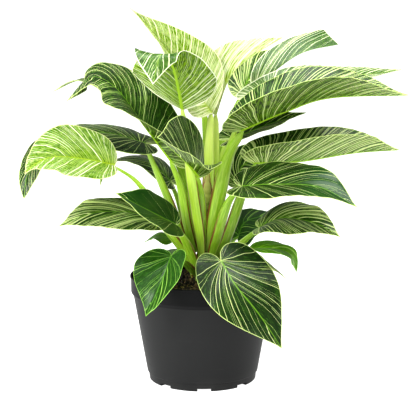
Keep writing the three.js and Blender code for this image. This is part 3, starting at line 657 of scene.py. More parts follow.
def blade_finish(kind, look):
    """Stripes and flecks follow the veins. The underside is yellower, the margin and midrib light."""
    finish = Finish(f"{kind}_blade")
    veins, v = finish.uv("veins")
    number, under = finish.uv("leaf")
    rib_out, to_edge = finish.uv("reach")
    spacing, streaks = finish.uv("lines")
    number = number.math("ROUND")
    wander = finish.noise(finish.vector(veins * 0.2, v * 2.5, number * 7), detail=1.0) - 0.5
    lane = veins + wander * 0.5
    more = streaks - 0.5
    width = (more * 1.2 + 1).math("MAXIMUM", 0.15)
    bold_share = more * 0.5 + look["bold"]
    bold, weight = pinstripes(finish, lane, number, 1, bold_share, width * BOLD_LINE, spacing, 0)
    extra, _ = pinstripes(finish, lane, number, EXTRA_LANES, more * 1.4, width * BOLD_LINE, spacing, 5)
    fine_share = more * 0.8 + look["fine"]
    fine, _ = pinstripes(finish, lane, number, FINE_LANES, fine_share, width * FINE_LINE, spacing, 3)
    breaks = finish.noise(finish.vector(lane * FINE_LANES, v * 5, number * 13), detail=1.0)
    fine = fine * finish.smooth(breaks, 0.32, 0.5)
    flecks = finish.noise(finish.vector(lane * 5, v * 7, number * 5), detail=2.0, roughness=0.6)
    fleck_from = look["fleck_from"]
    fleck = finish.smooth(flecks + more * 0.2, fleck_from - 0.06, fleck_from + 0.08)
    plain = 1 - finish.smooth(streaks, 0.0, 0.15)
    patch = finish.noise(finish.vector(veins * 0.25, v * 3, number * 11), detail=2.0)
    above = finish.blend(fleck * 0.8, look["deep"], look["fleck"])
    above = finish.blend(plain * 0.8, above, PLAIN_GREEN)
    below = finish.blend(fleck * 0.8, look["below"], look["below_fleck"])
    ground = finish.blend(under, above, below)
    ground = finish.blend(finish.smooth(patch, 0.45, 0.75) * 0.35, ground, look["fleck"])
    washed = finish.smooth(flecks + patch - 0.5, 0.3, 0.6) * (more * 2 + 0.5) * look["wash"]
    ground = finish.blend(washed.math("MAXIMUM", 0.0), ground, look["cream"])
    line_colour = finish.blend(finish.smooth(v + weight * 0.4, 0.0, 0.55), look["lime"], look["cream"])
    colour = finish.blend(fine * 0.9, ground, finish.blend(v * 0.8, look["lime"], look["cream"]))
    colour = finish.blend(extra * 0.9, colour, line_colour)
    colour = finish.blend(bold * 0.95, colour, line_colour)
    midrib = 1 - finish.smooth(rib_out - under * 0.7, 0.5, 1.0)
    rib_colour = finish.blend(under, look["lime"], RIB_UNDER)
    colour = finish.blend(midrib * (under * 0.3 + 0.65), colour, rib_colour)
    base = 1 - finish.smooth(spacing, 0.2, 0.55)
    colour = finish.blend(base * 0.5, colour, BASE_BLUSH)
    rim = finish.noise(finish.vector(veins * 0.15, number * 3, 0.5), detail=1.0) * look["rim"]
    edge = 1 - finish.smooth(to_edge, rim * 0.8, rim * 0.8 + 0.5)
    colour = finish.blend(edge, colour, look["edge"])
    grain = finish.noise(finish.vector(lane * 9, v * 14, number * 3), detail=2.0)
    roughness = grain * 0.12 + (under * 0.14 + 0.27)
    normal = finish.bump(grain * 0.6 + bold * 0.4, 0.12)
    return finish.surface(
        Base_Color=colour, Roughness=roughness, Normal=normal, Specular_IOR_Level=0.2,
        Coat_Weight=0.15, Coat_Roughness=0.22,
        Subsurface_Weight=0.1, Subsurface_Radius=(0.4, 1.0, 0.15), Subsurface_Scale=1.2 * MM)


def stalk_finish():
    """Lime green with fine ribs along it. The rims of its groove are dark red near the foot."""
    finish = Finish("leaf_stalk")
    x, y, _ = finish.parts(finish.attribute("section", "Vector"))
    along = finish.attribute("along")
    tone = finish.attribute("tone")
    angle = y.math("ARCTAN2", x)
    ribs = (angle * 11).math("SINE") * 0.5 + 0.5
    streak = finish.noise(finish.vector(x * 3, y * 3, along * 5 + tone * 9), scale=2.2, detail=3.0)
    green = finish.blend(tone, srgb(92, 146, 12), srgb(172, 208, 48))
    green = finish.blend(finish.smooth(streak, 0.4, 0.7) * 0.5, green, srgb(196, 222, 96))
    green = finish.blend(ribs * 0.16, green, srgb(70, 120, 14))
    green = finish.blend((1 - finish.smooth(along, 0.0, 0.22)) * 0.35, green, srgb(206, 222, 130))
    pale = finish.smooth(along, 0.35, 0.85) * finish.smooth(tone, 0.7, 0.85)
    green = finish.blend(pale * 0.75, green, srgb(214, 230, 128))
    rim = finish.smooth(abs(x), 0.87, 0.94) * (1 - finish.smooth(y, 0.1, 0.3))
    fade = 1 - finish.smooth(along + streak * 0.4, 0.6, 0.95)
    colour = finish.blend(rim * fade * 0.85, green, srgb(116, 36, 32))
    normal = finish.bump(ribs * 0.5 + streak * 0.5, 0.12)
    return finish.surface(
        Base_Color=colour, Roughness=streak * 0.2 + 0.28, Normal=normal, Subsurface_Weight=0.15,
        Subsurface_Radius=(0.6, 1.0, 0.2), Subsurface_Scale=2 * MM)


def pot_finish():
    """Charcoal moulded plastic: a satin skin with faint scuffs, dust near the foot, and painted shade on the
    collar.
    """
    finish = Finish("pot_plastic")
    place = finish.place()
    x, y, z = finish.parts(place)
    skin = finish.noise(place, scale=900, detail=2.0)
    cloud = finish.noise(place, scale=14, detail=3.0)
    scuffs = finish.noise(finish.vector(x * 30, y * 30, z * 260), detail=3.0, roughness=0.65)
    scuff = finish.smooth(scuffs, 0.62, 0.8)
    dust = (1 - finish.smooth(z, 0.0, 0.02)) * finish.smooth(cloud, 0.4, 0.7)
    body = finish.blend(cloud, srgb(29, 30, 30), srgb(38, 38, 38))
    # painted shade: the collar band is coloured near black where the leaves above shadow it
    collar_shade = finish.smooth(z, (POT_COLLAR - 1) * MM, POT_COLLAR * MM)
    colour = finish.blend(collar_shade, body, srgb(6, 7, 8))
    colour = finish.blend(scuff * 0.15 + dust * 0.2, colour, srgb(76, 76, 74))
    roughness = cloud * 0.12 + scuff * 0.15 + 0.46
    return finish.surface(
        Base_Color=colour, Roughness=roughness, Normal=finish.bump(skin, 0.03), Specular_IOR_Level=0.18)


def soil_finish(name, dark, light, share):
    """Moist bark and peat, with lighter crumbs."""
    finish = Finish(name)
    place = finish.place()
    crumbs = finish.add("ShaderNodeTexVoronoi", {}, {"Vector": place, "Scale": 420.0}, "Color")
    pick = finish.parts(crumbs)[0]
    fibre = finish.noise(place, scale=700, detail=3.0, roughness=0.7)
    colour = finish.blend(fibre, dark, srgb(60, 47, 33))
    colour = finish.blend(finish.smooth(pick, 1 - share, 1.05 - share) * 0.9, colour, light)
    return finish.surface(Base_Color=colour, Roughness=fibre * 0.2 + 0.75, Normal=finish.bump(fibre, 0.8))


def chip_finish(name, dark, light):
    """Each chip has its own shade, with a woody grain."""
    finish = Finish(name)
    shade = finish.attribute("shade")
    place = finish.place()
    fibre = finish.noise(place, scale=900, detail=2.0)
    colour = finish.blend(finish.smooth(shade, 0.35, 0.9), dark, light)
    colour = finish.blend(fibre * 0.5, colour, dark)
    return finish.surface(Base_Color=colour, Roughness=fibre * 0.2 + 0.7, Normal=finish.bump(fibre, 0.3))


def stem_finish():
    """Green, with a pale brown skin where old leaves grew."""
    finish = Finish("stem")
    place = finish.place()
    z = finish.parts(place)[2]
    patch = finish.noise(place, scale=120, detail=3.0)
    ring = (z * (2 * math.pi / (SCAR_STEP * MM))).math("SINE") * 0.5 + 0.5
    colour = finish.blend(patch, srgb(86, 120, 36), srgb(140, 160, 70))
    colour = finish.blend(finish.smooth(ring, 0.75, 1.0) * 0.6, colour, srgb(112, 84, 48))
    return finish.surface(Base_Color=colour, Roughness=patch * 0.2 + 0.5, Normal=finish.bump(patch, 0.3))


def sheath_finish():
    """Dry and papery: brown with green at its foot, and fine fibres along it."""
    finish = Finish("papery_sheath")
    u, v = finish.uv("fibres")
    fibre = finish.noise(finish.vector(u * 30, v * 3, 1.0), detail=3.0, roughness=0.6)
    colour = finish.blend(finish.smooth(v, 0.1, 1.0), srgb(136, 166, 40), srgb(158, 160, 84))
    colour = finish.blend(finish.smooth(fibre, 0.45, 0.7) * 0.4, colour, srgb(150, 104, 66))
    rim = finish.smooth(abs(u), 0.7, 0.85)
    colour = finish.blend(rim * 0.9, colour, srgb(112, 30, 32))
    return finish.surface(Base_Color=colour, Roughness=fibre * 0.3 + 0.5, Normal=finish.bump(fibre, 0.3))


# ---- Trees that build pieces ----

class Builder(Nodes):
    """A geometry tree with named inputs for its sizes."""

    def __init__(self, name, sizes):
        tree = bpy.data.node_groups.new(name, "GeometryNodeTree")
        super().__init__(tree)
        tree.interface.new_socket("Geometry", in_out="INPUT", socket_type="NodeSocketGeometry")
        tree.interface.new_socket("Geometry", in_out="OUTPUT", socket_type="NodeSocketGeometry")
        kinds = {int: "NodeSocketInt", float: "NodeSocketFloat"}
        for label, value in sizes.items():
            socket = tree.interface.new_socket(label, in_out="INPUT", socket_type=kinds[type(value)])
            socket.default_value = value
        self.entry = self.add("NodeGroupInput")

    def size(self, label):
        return self.entry.output(label)

    def field(self, name, kind="FLOAT"):
        return self.add("GeometryNodeInputNamedAttribute", {"data_type": kind}, [name])

    def store(self, geometry, name, value, kind="FLOAT", domain="POINT"):
        settings = {"data_type": kind, "domain": domain}
        inputs = {0: geometry, "Name": name, "Value": value}
        return self.add("GeometryNodeStoreNamedAttribute", settings, inputs)

    def finish(self, geometry, material):
        geometry = self.add("GeometryNodeSetShadeSmooth", {}, [geometry])
        geometry = self.add("GeometryNodeRealizeInstances", {}, [geometry])
        geometry = self.add("GeometryNodeSetMaterial", {}, {"Geometry": geometry, "Material": material})
        self.add("NodeGroupOutput", {}, [geometry])
        return self.tree


def build(piece, tree, sizes):
    """Runs a geometry tree on a piece with its own sizes, and keeps the result as a plain mesh."""
    modifier = piece.modifiers.new(tree.name, "NODES")
    modifier.node_group = tree
    inputs = [item for item in tree.interface.items_tree if item.in_out == "INPUT"]
    sockets = {item.name: item.identifier for item in inputs}
    for label, value in sizes.items():
        modifier[sockets[label]] = value
    depsgraph = bpy.context.evaluated_depsgraph_get()
    mesh = bpy.data.meshes.new_from_object(piece.evaluated_get(depsgraph))
    piece.modifiers.clear()
    piece.data = mesh
    return piece


STALK_FOOT = 3.8           # half widths of a stalk, from its foot to its blade
STALK_MIDDLE = 5.2
STALK_NECK = 3.0
STALK_TIP = 1.5
STALK_FLATNESS = 0.58
STALK_GROOVE = 0.3         # depth of the groove, and how far its rims stand out, in half widths
STALK_WING = 0.12
STALK_SIDES = 28
STALK_RINGS = 40


def stalk_tree(material):
    """Sweeps an oval section, grooved towards the stem, along a chain of edges."""
    tree = Builder("swept_stalk", {
        "Foot": STALK_FOOT * MM, "Middle": STALK_MIDDLE * MM, "Neck": STALK_NECK * MM, "Tip": STALK_TIP * MM,
        "Flatness": STALK_FLATNESS, "Groove": STALK_GROOVE, "Wing": STALK_WING, "Tone": 0.5,
        "Sides": STALK_SIDES})
    route = tree.add("GeometryNodeMeshToCurve", {}, [tree.entry])
    flat_way = tree.field("flat_way", "FLOAT_VECTOR")
    route = tree.add("GeometryNodeSetCurveNormal", {"mode": "FREE"}, {"Curve": route, "Normal": flat_way})
    along = tree.add("GeometryNodeSplineParameter")
    route = tree.store(route, "along", along)
    swell = tree.smooth(along, 0.0, 0.3) * (tree.size("Middle") - tree.size("Foot"))
    thin = tree.smooth(along, 0.5, 0.96) * (tree.size("Middle") - tree.size("Neck"))
    end = tree.smooth(along, 0.93, 1.0) * (tree.size("Neck") - tree.size("Tip"))
    width = tree.size("Foot") + swell - thin - end
    unit_circle = {"Resolution": tree.size("Sides"), "Radius": 1.0}
    circle = tree.add("GeometryNodeCurvePrimitiveCircle", {}, unit_circle)
    place = tree.add("GeometryNodeInputPosition")
    circle = tree.store(circle, "section", place, "FLOAT_VECTOR")
    x, y, _ = tree.parts(place)
    inner = tree.smooth(y, -0.1, 0.5)
    dip = inner * tree.size("Groove") * (1 - x * x)
    wing = tree.smooth(abs(x), 0.86, 1.0) * tree.size("Wing")
    shaped = tree.vector(x * (wing + 1), (y - dip * 1.6) * tree.size("Flatness") + wing * 0.6, 0.0)
    circle = tree.add("GeometryNodeSetPosition", {}, {"Geometry": circle, "Position": shaped})
    sweep = {"Curve": route, "Profile Curve": circle, "Scale": width, "Fill Caps": True}
    stalk = tree.add("GeometryNodeCurveToMesh", {}, sweep)
    stalk = tree.store(stalk, "tone", tree.size("Tone"))
    return tree.finish(stalk, material)


STEM_FOOT = 84             # heights of the stem's ends, and its radius at the mix and the top
STEM_TOP = 174
STEM_FOOT_RADIUS = 9
STEM_TOP_RADIUS = 4.4
STEM_SIDES = 48
STEM_RINGS = 90
SCAR_STEP = 9              # from one leaf scar to the next
SOIL_EDGE = 107            # height of the mix at the wall of the pot
CLEAR = 0.35               # gap between neighbours


def stem_radius(height):
    share = np.clip((height - SOIL_EDGE) / (STEM_TOP - SOIL_EDGE), 0, 1)
    return STEM_FOOT_RADIUS + (STEM_TOP_RADIUS - STEM_FOOT_RADIUS) * share


def stalk_route(plan):
    """Points of a stalk from the stem to the blade's base, and the way its flat side lies."""
    bearing, height = plan["foot"]
    outward = np.array([math.cos(math.radians(bearing)), math.sin(math.radians(bearing)), 0])
    facing = math.radians(plan.get("face", bearing))
    sideways = np.array([-math.sin(facing), math.cos(facing), 0])
    after = np.array(plan["stalk"][-1], float)
    steepness = (after[2] - height) / math.hypot(after[0], after[1], after[2] - height)
    reach = stem_radius(height) + CLEAR + STALK_FOOT * STALK_FLATNESS * steepness
    foot = outward * reach + np.array([0, 0, height])
    blade = Blade(plan)
    forward, _, up = blade.frames(np.array(0.0))
    last = np.array(plan["base"]) + forward * 1.5 - up * (STALK_TIP * 0.8)
    path = Path([foot, *plan["stalk"][::-1], last])
    shares = np.linspace(0, 1, STALK_RINGS)
    ways = path.way(shares)
    flat = unit(sideways - ways * (ways @ sideways)[:, None])
    return path.place(shares), flat


def stalk_piece(name, plan, tree, sizes):
    points, flat = stalk_route(plan)
    mesh = bpy.data.meshes.new(name)
    edges = [(i, i + 1) for i in range(len(points) - 1)]
    mesh.from_pydata((points * MM).tolist(), edges, [])
    mesh.attributes.new("flat_way", "FLOAT_VECTOR", "POINT").data.foreach_set("vector", flat.ravel())
    piece = bpy.data.objects.new(name, mesh)
    bpy.context.scene.collection.objects.link(piece)
    return build(piece, tree, sizes)


# ---- Pot ----

POT_HEIGHT = 118
POT_RIM_RADIUS = 81
POT_BASE_RADIUS = 60.5
POT_WALL = 1.7
POT_COLLAR_HEIGHT = 22
POT_COLLAR_STEP = 2.6
POT_FOOT_HEIGHT = 4
POT_FOOT_WIDTH = 7
POT_PAD_RADIUS = 19
POT_SIDES = 256
DRAIN_SLOTS = 8
DRAIN_SLOT_WIDTH = 15
DRAIN_SLOT_HEIGHT = 3.2
DRAIN_SLOT_SPARE = 12      # how much longer the cutter is than the ring is wide
DRAIN_TURN = 2             # degrees that the first slot lies past the front
DRAIN_HOLES = 6
DRAIN_HOLE_RADIUS = 4.5
DRAIN_HOLE_CIRCLE = 38
POT_BODY_TOP_RADIUS = POT_RIM_RADIUS - 1 - POT_COLLAR_STEP
POT_COLLAR = POT_HEIGHT - POT_COLLAR_HEIGHT


def pot_body_radius(height):
    return POT_BASE_RADIUS + (POT_BODY_TOP_RADIUS - POT_BASE_RADIUS) * height / POT_COLLAR


def rounded(outline, steps=5):
    """An outline of (radius, height, rounding) with its corners turned into short arcs."""
    corners = [np.array(point[:2], float) for point in outline]
    result = []
    for i, (corner, point) in enumerate(zip(corners, outline)):
        rounding = point[2]
        before = corners[i - 1] - corner
        after = corners[(i + 1) % len(corners)] - corner
        if not rounding:
            result.append(corner)
            continue
        start = corner + before / np.linalg.norm(before) * rounding
        end = corner + after / np.linalg.norm(after) * rounding
        for t in np.linspace(0, 1, steps):
            result.append((1 - t) ** 2 * start + 2 * t * (1 - t) * corner + t * t * end)
    return np.array(result)


def ring_faces(sides, count, closed):
    """Quads between neighbouring columns of points that stand round the Z axis."""
    span = count if closed else count - 1
    i, j = np.meshgrid(np.arange(sides), np.arange(span), indexing="ij")
    after = (i + 1) % sides
    a = i * count + j
    b = after * count + j
    c = after * count + (j + 1) % count
    d = i * count + (j + 1) % count
    return np.stack([a, b, c, d], -1).reshape(-1, 4)


def lathe_mesh(name, outline, sides):
    """A closed outline, in radius and height, turned round the Z axis."""
    turns = np.linspace(0, 2 * math.pi, sides, endpoint=False)
    ring = np.stack([np.cos(turns), np.sin(turns)], -1)
    flat = outline[None, :, :1] * ring[:, None, :]
    heights = np.broadcast_to(outline[None, :, 1:], (sides, len(outline), 1))
    points = np.concatenate([flat, heights], -1).reshape(-1, 3)
    return mesh_object(name, points, ring_faces(sides, len(outline), closed=True))


def ring_cutters(tree, cutter, count, radius, turn):
    """Copies of a cutter round the Z axis, each turned to face outwards."""
    ring = tree.add("GeometryNodeMeshCircle", {}, {"Vertices": count, "Radius": radius})
    place = tree.add("GeometryNodeInputPosition")
    spot = tree.add("GeometryNodeMeshToPoints", {}, {"Mesh": ring})
    facing = tree.add("FunctionNodeAlignRotationToVector", {"axis": "X"}, {"Vector": place})
    stand = {"Points": spot, "Instance": cutter, "Rotation": facing}
    copies = tree.add("GeometryNodeInstanceOnPoints", {}, stand)
    copies = tree.add("GeometryNodeRealizeInstances", {}, [copies])
    turned = {"Geometry": copies, "Rotation": tree.vector(0.0, 0.0, turn)}
    return tree.add("GeometryNodeTransform", {}, turned)


def drained_pot_tree(material):
    """Cuts the notches under the foot ring and the holes through the floor."""
    tree = Builder("drained_pot", {
        "Slots": DRAIN_SLOTS, "Slot Width": DRAIN_SLOT_WIDTH * MM, "Slot Height": DRAIN_SLOT_HEIGHT * MM,
        "Slot Circle": (POT_BASE_RADIUS - POT_FOOT_WIDTH / 2) * MM, "Holes": DRAIN_HOLES,
        "Hole Radius": DRAIN_HOLE_RADIUS * MM, "Hole Circle": DRAIN_HOLE_CIRCLE * MM})
    slot_length = (POT_FOOT_WIDTH + DRAIN_SLOT_SPARE) * MM
    slot_size = tree.vector(slot_length, tree.size("Slot Width"), tree.size("Slot Height") * 2)
    slot = tree.add("GeometryNodeMeshCube", {}, {"Size": slot_size})
    turn = math.radians(DRAIN_TURN - 90)
    slots = ring_cutters(tree, slot, tree.size("Slots"), tree.size("Slot Circle"), turn)
    drill = {"Vertices": 32, "Radius": tree.size("Hole Radius"), "Depth": 4 * POT_FOOT_HEIGHT * MM}
    hole = tree.add("GeometryNodeMeshCylinder", {}, drill)
    holes = ring_cutters(tree, hole, tree.size("Holes"), tree.size("Hole Circle"), 0.0)
    cutters = tree.add("GeometryNodeJoinGeometry")
    for part in (slots, holes):
        tree.tree.links.new(part.socket, cutters.socket.node.inputs[0])
    settings = {"operation": "DIFFERENCE", "solver": "EXACT"}
    pot = tree.add("GeometryNodeMeshBoolean", settings, {"Mesh 1": tree.entry, "Mesh 2": cutters})
    return tree.finish(pot, material)


def pot_piece():
    """One moulded shell: a raised floor in a foot ring, a tapered wall and a wider collar."""
    foot_inner = POT_BASE_RADIUS - POT_FOOT_WIDTH
    floor_top = POT_FOOT_HEIGHT + POT_WALL
    body = POT_BODY_TOP_RADIUS
    step = body + POT_COLLAR_STEP
    outline = rounded([
        (0.01, 0, 0), (POT_PAD_RADIUS, 0, 0.6), (POT_PAD_RADIUS + 3, POT_FOOT_HEIGHT, 1),
        (foot_inner - 2, POT_FOOT_HEIGHT, 1), (foot_inner, 0, 0.6), (POT_BASE_RADIUS - 0.6, 0, 1.2),
        (POT_BASE_RADIUS + 0.1, 8.4, 0.3), (pot_body_radius(8.6) + 0.1, 9.2, 0.3),
        (body, POT_COLLAR, 0.8), (step, POT_COLLAR + 3.5, 0.9),
        (POT_RIM_RADIUS - 0.8, POT_HEIGHT - 2.2, 0.3), (POT_RIM_RADIUS, POT_HEIGHT - 1.9, 0.4),
        (POT_RIM_RADIUS, POT_HEIGHT, 0.5), (POT_RIM_RADIUS - POT_WALL, POT_HEIGHT, 0.5),
        (POT_RIM_RADIUS - POT_WALL - 0.7, POT_HEIGHT - 2, 0.5), (step - POT_WALL, POT_COLLAR + 5, 0.6),
        (body - POT_WALL, POT_COLLAR + 1, 0.6), (pot_body_radius(floor_top) - POT_WALL, floor_top, 1.5),
        (POT_PAD_RADIUS + 4, floor_top, 1), (POT_PAD_RADIUS + 1, POT_WALL, 0.6), (0.01, POT_WALL, 0),
    ])
    pot = lathe_mesh("pot_shell", outline, POT_SIDES)
    build(pot, drained_pot_tree(pot_finish()), {})
    pot.data.set_sharp_from_angle(angle=math.radians(38))
    return pot


# ---- Potting mix ----

SOIL_CROWN = 4             # how much higher the mix is at the stem
SOIL_RINGS = 70
SOIL_SIDES = 240
CHIP_RINGS = 24            # the coarser surface that chips are scattered on
CHIP_SIDES = 90
SOIL_RADIUS = POT_RIM_RADIUS - POT_WALL - 0.9


def soil_height(x, y):
    """The lumpy top of the mix: higher round the stem, with long and short lumps."""
    radius = np.hypot(x, y)
    crown = SOIL_EDGE + SOIL_CROWN * np.exp(-(radius / 42) ** 2)
    long_lumps = 0.9 * np.sin(0.13 * x - 0.19 * y) + 0.8 * np.sin(0.31 * x + 1) * np.cos(0.27 * y)
    short_lumps = 0.5 * np.sin(0.83 * x + 0.4 * y) * np.cos(0.71 * y - 0.2 * x)
    grains = 0.25 * np.sin(2.1 * x + 0.9 * y) * np.sin(1.7 * y - 1.1 * x + 2)
    return crown + long_lumps * 0.8 + short_lumps + grains


def soil_top(inner, outer, rings, sides):
    radius = np.linspace(inner, outer, rings)[None, :]
    turns = np.linspace(0, 2 * math.pi, sides, endpoint=False)[:, None]
    x = radius * np.cos(turns)
    y = radius * np.sin(turns)
    return np.stack([x, y, soil_height(x, y)], -1)


def soil_piece():
    """A closed plug of mix that fills the pot round the buried end of the stem."""
    top = soil_top(0, SOIL_RADIUS - 1.2, SOIL_RINGS, SOIL_SIDES)
    turns = np.linspace(0, 2 * math.pi, SOIL_SIDES, endpoint=False)
    floor_top = POT_FOOT_HEIGHT + POT_WALL + CLEAR
    wall = [
        (SOIL_RADIUS - 1.3, SOIL_EDGE - 3),
        (POT_BODY_TOP_RADIUS - POT_WALL - 0.4, POT_COLLAR),
        (pot_body_radius(floor_top) - POT_WALL - 0.6, floor_top),
        (0, floor_top)]
    rings = [
        np.stack([radius * np.cos(turns), radius * np.sin(turns), np.full(SOIL_SIDES, height)], -1)
        for radius, height in wall]
    columns = np.concatenate([top, np.stack(rings, 1)], 1)
    faces = ring_faces(SOIL_SIDES, columns.shape[1], closed=False)[:, ::-1]
    piece = mesh_object("soil_bed", columns.reshape(-1, 3), faces)
    weld(piece)
    return piece


def random_size(tree, low, high, shift):
    """A random number for each copy. Each shift of the seed gives other numbers."""
    inputs = {2: low, 3: high, 8: tree.size("Seed") + shift}
    return tree.add("FunctionNodeRandomValue", {"data_type": "FLOAT"}, inputs, 1)


def chip_tree(name, material):
    """Scatters irregular chips over a surface."""
    tree = Builder(name, {
        "Density": 60000.0, "Smallest": 0.001, "Largest": 0.003, "Flatness": 0.6, "Seed": 1})
    spots = tree.add(
        "GeometryNodeDistributePointsOnFaces", {},
        {"Mesh": tree.entry, "Density": tree.size("Density"), "Seed": tree.size("Seed")})
    chip = tree.add("GeometryNodeMeshIcoSphere", {}, {"Radius": 0.5, "Subdivisions": 2})
    place = tree.add("GeometryNodeInputPosition")
    lumps = tree.add("ShaderNodeTexNoise", {}, {"Vector": place, "Scale": 2.6, "Detail": 1.0}, 1)
    centred = tree.add("ShaderNodeVectorMath", {"operation": "SUBTRACT"}, [lumps, (0.5, 0.5, 0.5)])
    push = tree.add("ShaderNodeVectorMath", {"operation": "SCALE"}, {0: centred, 3: 0.9})
    chip = tree.add("GeometryNodeSetPosition", {}, {"Geometry": chip, "Offset": push})
    turns = {0: (0.0, 0.0, 0.0), 1: (6.3, 6.3, 6.3), 8: tree.size("Seed")}
    turn = tree.add("FunctionNodeRandomValue", {"data_type": "FLOAT_VECTOR"}, turns)
    long = random_size(tree, tree.size("Smallest"), tree.size("Largest"), 1)
    wide = random_size(tree, 0.35, 1.0, 2)
    scale = tree.vector(long, long * wide, long * wide * tree.size("Flatness"))
    chips = tree.add(
        "GeometryNodeInstanceOnPoints", {},
        {"Points": spots, "Instance": chip, "Rotation": turn, "Scale": scale})
    chips = tree.store(chips, "shade", random_size(tree, 0.0, 1.0, 3), domain="INSTANCE")
    return tree.finish(chips, material)


def chips_piece(name, tree, sizes):
    top = soil_top(STEM_FOOT_RADIUS + 1, SOIL_RADIUS - 2.5, CHIP_RINGS, CHIP_SIDES)
    piece = mesh_object(name, top.reshape(-1, 3), ring_faces(CHIP_SIDES, CHIP_RINGS, closed=False))
    return build(piece, tree, sizes)


# ---- Stem and sheath ----

def stem_piece():
    """The stem narrows upwards and is ringed where old leaves grew."""
    heights = np.linspace(STEM_FOOT, STEM_TOP - 1, STEM_RINGS)
    ring = 0.3 * np.sin((heights - STEM_FOOT) * 2 * math.pi / SCAR_STEP)
    outline = [(0.01, STEM_FOOT), *zip(stem_radius(heights) - 0.3 + ring, heights)]
    outline += [(STEM_TOP_RADIUS - 1.5, STEM_TOP - 0.3), (0.01, STEM_TOP)]
    return lathe_mesh("stem_column", np.array(outline, float), STEM_SIDES)


SHEATH_ROUTE = [(4, -6, 166), (5, -7, 190), (5, -8, 212), (6, -8, 236)]
SHEATH_HALF_WIDTHS = [5.0, 7.0, 7.6, 6.4, 4.2, 1.2]
SHEATH_THICKNESS = 0.5
SHEATH_ROWS = 60
SHEATH_COLUMNS = 17


def sheath_piece(chance):
    """A thin scale, hollow towards the stem, with a ragged margin."""
    rows = SHEATH_ROWS
    columns = SHEATH_COLUMNS
    path = Path(SHEATH_ROUTE)
    along = np.linspace(0, 1, rows)
    widths = np.interp(along, np.linspace(0, 1, len(SHEATH_HALF_WIDTHS)), SHEATH_HALF_WIDTHS)
    ragged = 1 + 0.06 * np.sin(along * 31 + chance.uniform(0, 6)) + 0.05 * np.sin(along * 67)
    across = np.linspace(-1, 1, columns)[None, :]
    fibre = np.stack(np.broadcast_arrays(across, along[:, None]), -1).reshape(-1, 2)
    half = (widths * ragged)[:, None]
    centre = path.place(along)[:, None, :]
    bulge = 0.5 * half * (1 - across ** 2)
    vertices, faces = [], []
    for layer, back in enumerate((0.0, SHEATH_THICKNESS)):
        offset = np.stack([across * half, back - bulge, np.zeros((rows, columns))], -1)
        vertices.append((centre + offset).reshape(-1, 3))
        faces.append(grid_faces(rows, columns, layer * rows * columns, flip=bool(layer)))
    last = rows * columns
    loop = [
        *range(columns), *range(2 * columns - 1, last, columns),
        *range(last - 2, last - columns - 1, -1), *range(last - 2 * columns, 0, -columns)]
    rim = [(a, a + last, b + last, b) for a, b in zip(loop, [*loop[1:], loop[0]])]
    maps = {"fibres": np.vstack([fibre, fibre])}
    piece = mesh_object("sheath_scale", np.vstack(vertices), [*map(tuple, np.vstack(faces)), *rim], maps)
    weld(piece)
    return piece


# ---- Scene ----

ROOM_LIGHT = 0.35          # how bright the white room is, as the plant sees it

CAMERA_PLACE = (6.15, -1386, 418)
CAMERA_TILT = 80.78
CAMERA_LENS = 109.4
CAMERA_SENSOR = 36
FLOOR_SIDE = 6000          # half the side of the floor
FLOOR_GLOW = 0.85          # the floor is nearly as white as the room


def camera():
    data = bpy.data.cameras.new("camera")
    data.lens = CAMERA_LENS
    data.sensor_width = CAMERA_SENSOR
    view = bpy.data.objects.new("camera", data)
    view.location = Vector(CAMERA_PLACE) * MM
    view.rotation_euler = (math.radians(CAMERA_TILT), 0, 0)
    bpy.context.scene.collection.objects.link(view)
    bpy.context.scene.camera = view


def softbox(name, place, size, watts, aim=(0, 0, 0.22)):
    data = bpy.data.lights.new(name, "AREA")
    data.shape = "RECTANGLE"
    data.size, data.size_y = size
    data.energy = watts
    lamp = bpy.data.objects.new(name, data)
    lamp.location = place
    lamp.rotation_euler = (Vector(aim) - Vector(place)).to_track_quat("-Z", "Y").to_euler()
    bpy.context.scene.collection.objects.link(lamp)


def studio():
    """A white room light, soft boxes in front, above and at both sides, and a pale floor."""
    world = bpy.data.worlds.new("studio")
    world.use_nodes = True
    nodes = Nodes(world.node_tree)
    seen = nodes.add("ShaderNodeLightPath", {}, (), "Is Camera Ray")
    backdrop = world.node_tree.nodes["Background"]
    backdrop.inputs["Color"].default_value = (1, 1, 1, 1)
    strength = seen * (1 - ROOM_LIGHT) + ROOM_LIGHT
    world.node_tree.links.new(strength.socket, backdrop.inputs["Strength"])
    bpy.context.scene.world = world
    softbox("front_left_box", (-1.1, -1.4, 1.2), (0.8, 0.8), 28)
    softbox("top_box", (0.15, -0.35, 1.6), (1.0, 1.0), 26)
    softbox("low_left_box", (-1.6, -0.7, 0.25), (0.5, 0.9), 16, (0, 0, 0.1))
    softbox("low_right_box", (1.6, -0.5, 0.25), (0.5, 0.9), 6, (0, 0, 0.1))
    bpy.context.scene.view_settings.view_transform = "Standard"
    bpy.context.scene.view_settings.look = "Medium High Contrast"
    finish = Finish("studio_floor")
    place = finish.place()
    cloud = finish.noise(place, scale=3, detail=2.0)
    colour = finish.blend(cloud, (0.48, 0.48, 0.48, 1), (0.52, 0.52, 0.52, 1))
    material = finish.surface(
        Base_Color=colour, Roughness=0.9, Emission_Color=(1, 1, 1, 1), Emission_Strength=FLOOR_GLOW)
    corners = [(x * FLOOR_SIDE, y * FLOOR_SIDE, 0) for x, y in ((-1, -1), (1, -1), (1, 1), (-1, 1))]
    floor = mesh_object("studio_floor", corners, [(0, 1, 2, 3)])
    floor.data.materials.append(material)


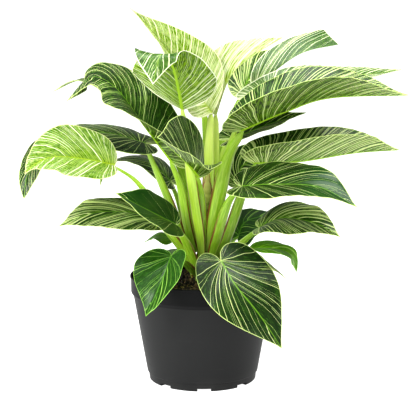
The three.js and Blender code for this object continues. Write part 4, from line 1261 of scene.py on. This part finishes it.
def settle(piece, slot, *nodes):
    """The piece stands for its CAD nodes and moves with the body. Its slot is not used."""
    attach(piece, BODY)
    if nodes:
        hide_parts(*nodes)


def painted(piece, material):
    piece.data.materials.clear()
    piece.data.materials.append(material)
    return piece


def make_plant():
    chance = np.random.default_rng(7)
    blade_paint = {kind: blade_finish(kind, look) for kind, look in LOOKS.items()}
    stalks = stalk_tree(stalk_finish())
    for number, (place, plan) in enumerate(LEAVES.items(), 1):
        kind = plan.get("kind", SHAPE_DEFAULTS["kind"])
        blade = painted(blade_piece(f"blade_{place}", plan, number, chance), blade_paint[kind])
        settle(blade, plan.get("slot", SLOTS[kind]), f"leaf_{place}_blade")
        tone = LOOKS[kind]["stalk"] + chance.uniform(-0.1, 0.1)
        thick = plan.get("thick", SHAPE_DEFAULTS["thick"]) * MM
        sizes = {"Tone": float(tone), "Middle": STALK_MIDDLE * thick, "Neck": STALK_NECK * thick}
        stalk = stalk_piece(f"stalk_{place}", plan, stalks, sizes)
        settle(stalk, "leaf_stalk", f"leaf_{place}_stalk")
    settle(painted(stem_piece(), stem_finish()), "stem", "stem")
    settle(painted(sheath_piece(chance), sheath_finish()), "papery_sheath", "papery_sheath")


def make_pot():
    settle(pot_piece(), "pot_plastic", "nursery_pot")
    soil = painted(soil_piece(), soil_finish("potting_mix", srgb(22, 18, 14), srgb(132, 114, 70), 0.12))
    settle(soil, "potting_mix", "potting_mix")
    bark = chip_tree("bark_chips", chip_finish("bark_chips", srgb(24, 19, 14), srgb(134, 112, 72)))
    sizes = {"Density": 26000.0, "Smallest": 0.0028, "Largest": 0.0085, "Seed": 3}
    settle(chips_piece("bark_chips", bark, sizes), "potting_mix")
    crumb = chip_tree("peat_crumbs", chip_finish("peat_crumbs", srgb(30, 22, 16), srgb(160, 144, 88)))
    sizes = {"Density": 110000.0, "Smallest": 0.001, "Largest": 0.0026, "Seed": 9}
    settle(chips_piece("peat_crumbs", crumb, sizes), "potting_mix")


camera()
studio()
make_pot()
make_plant()
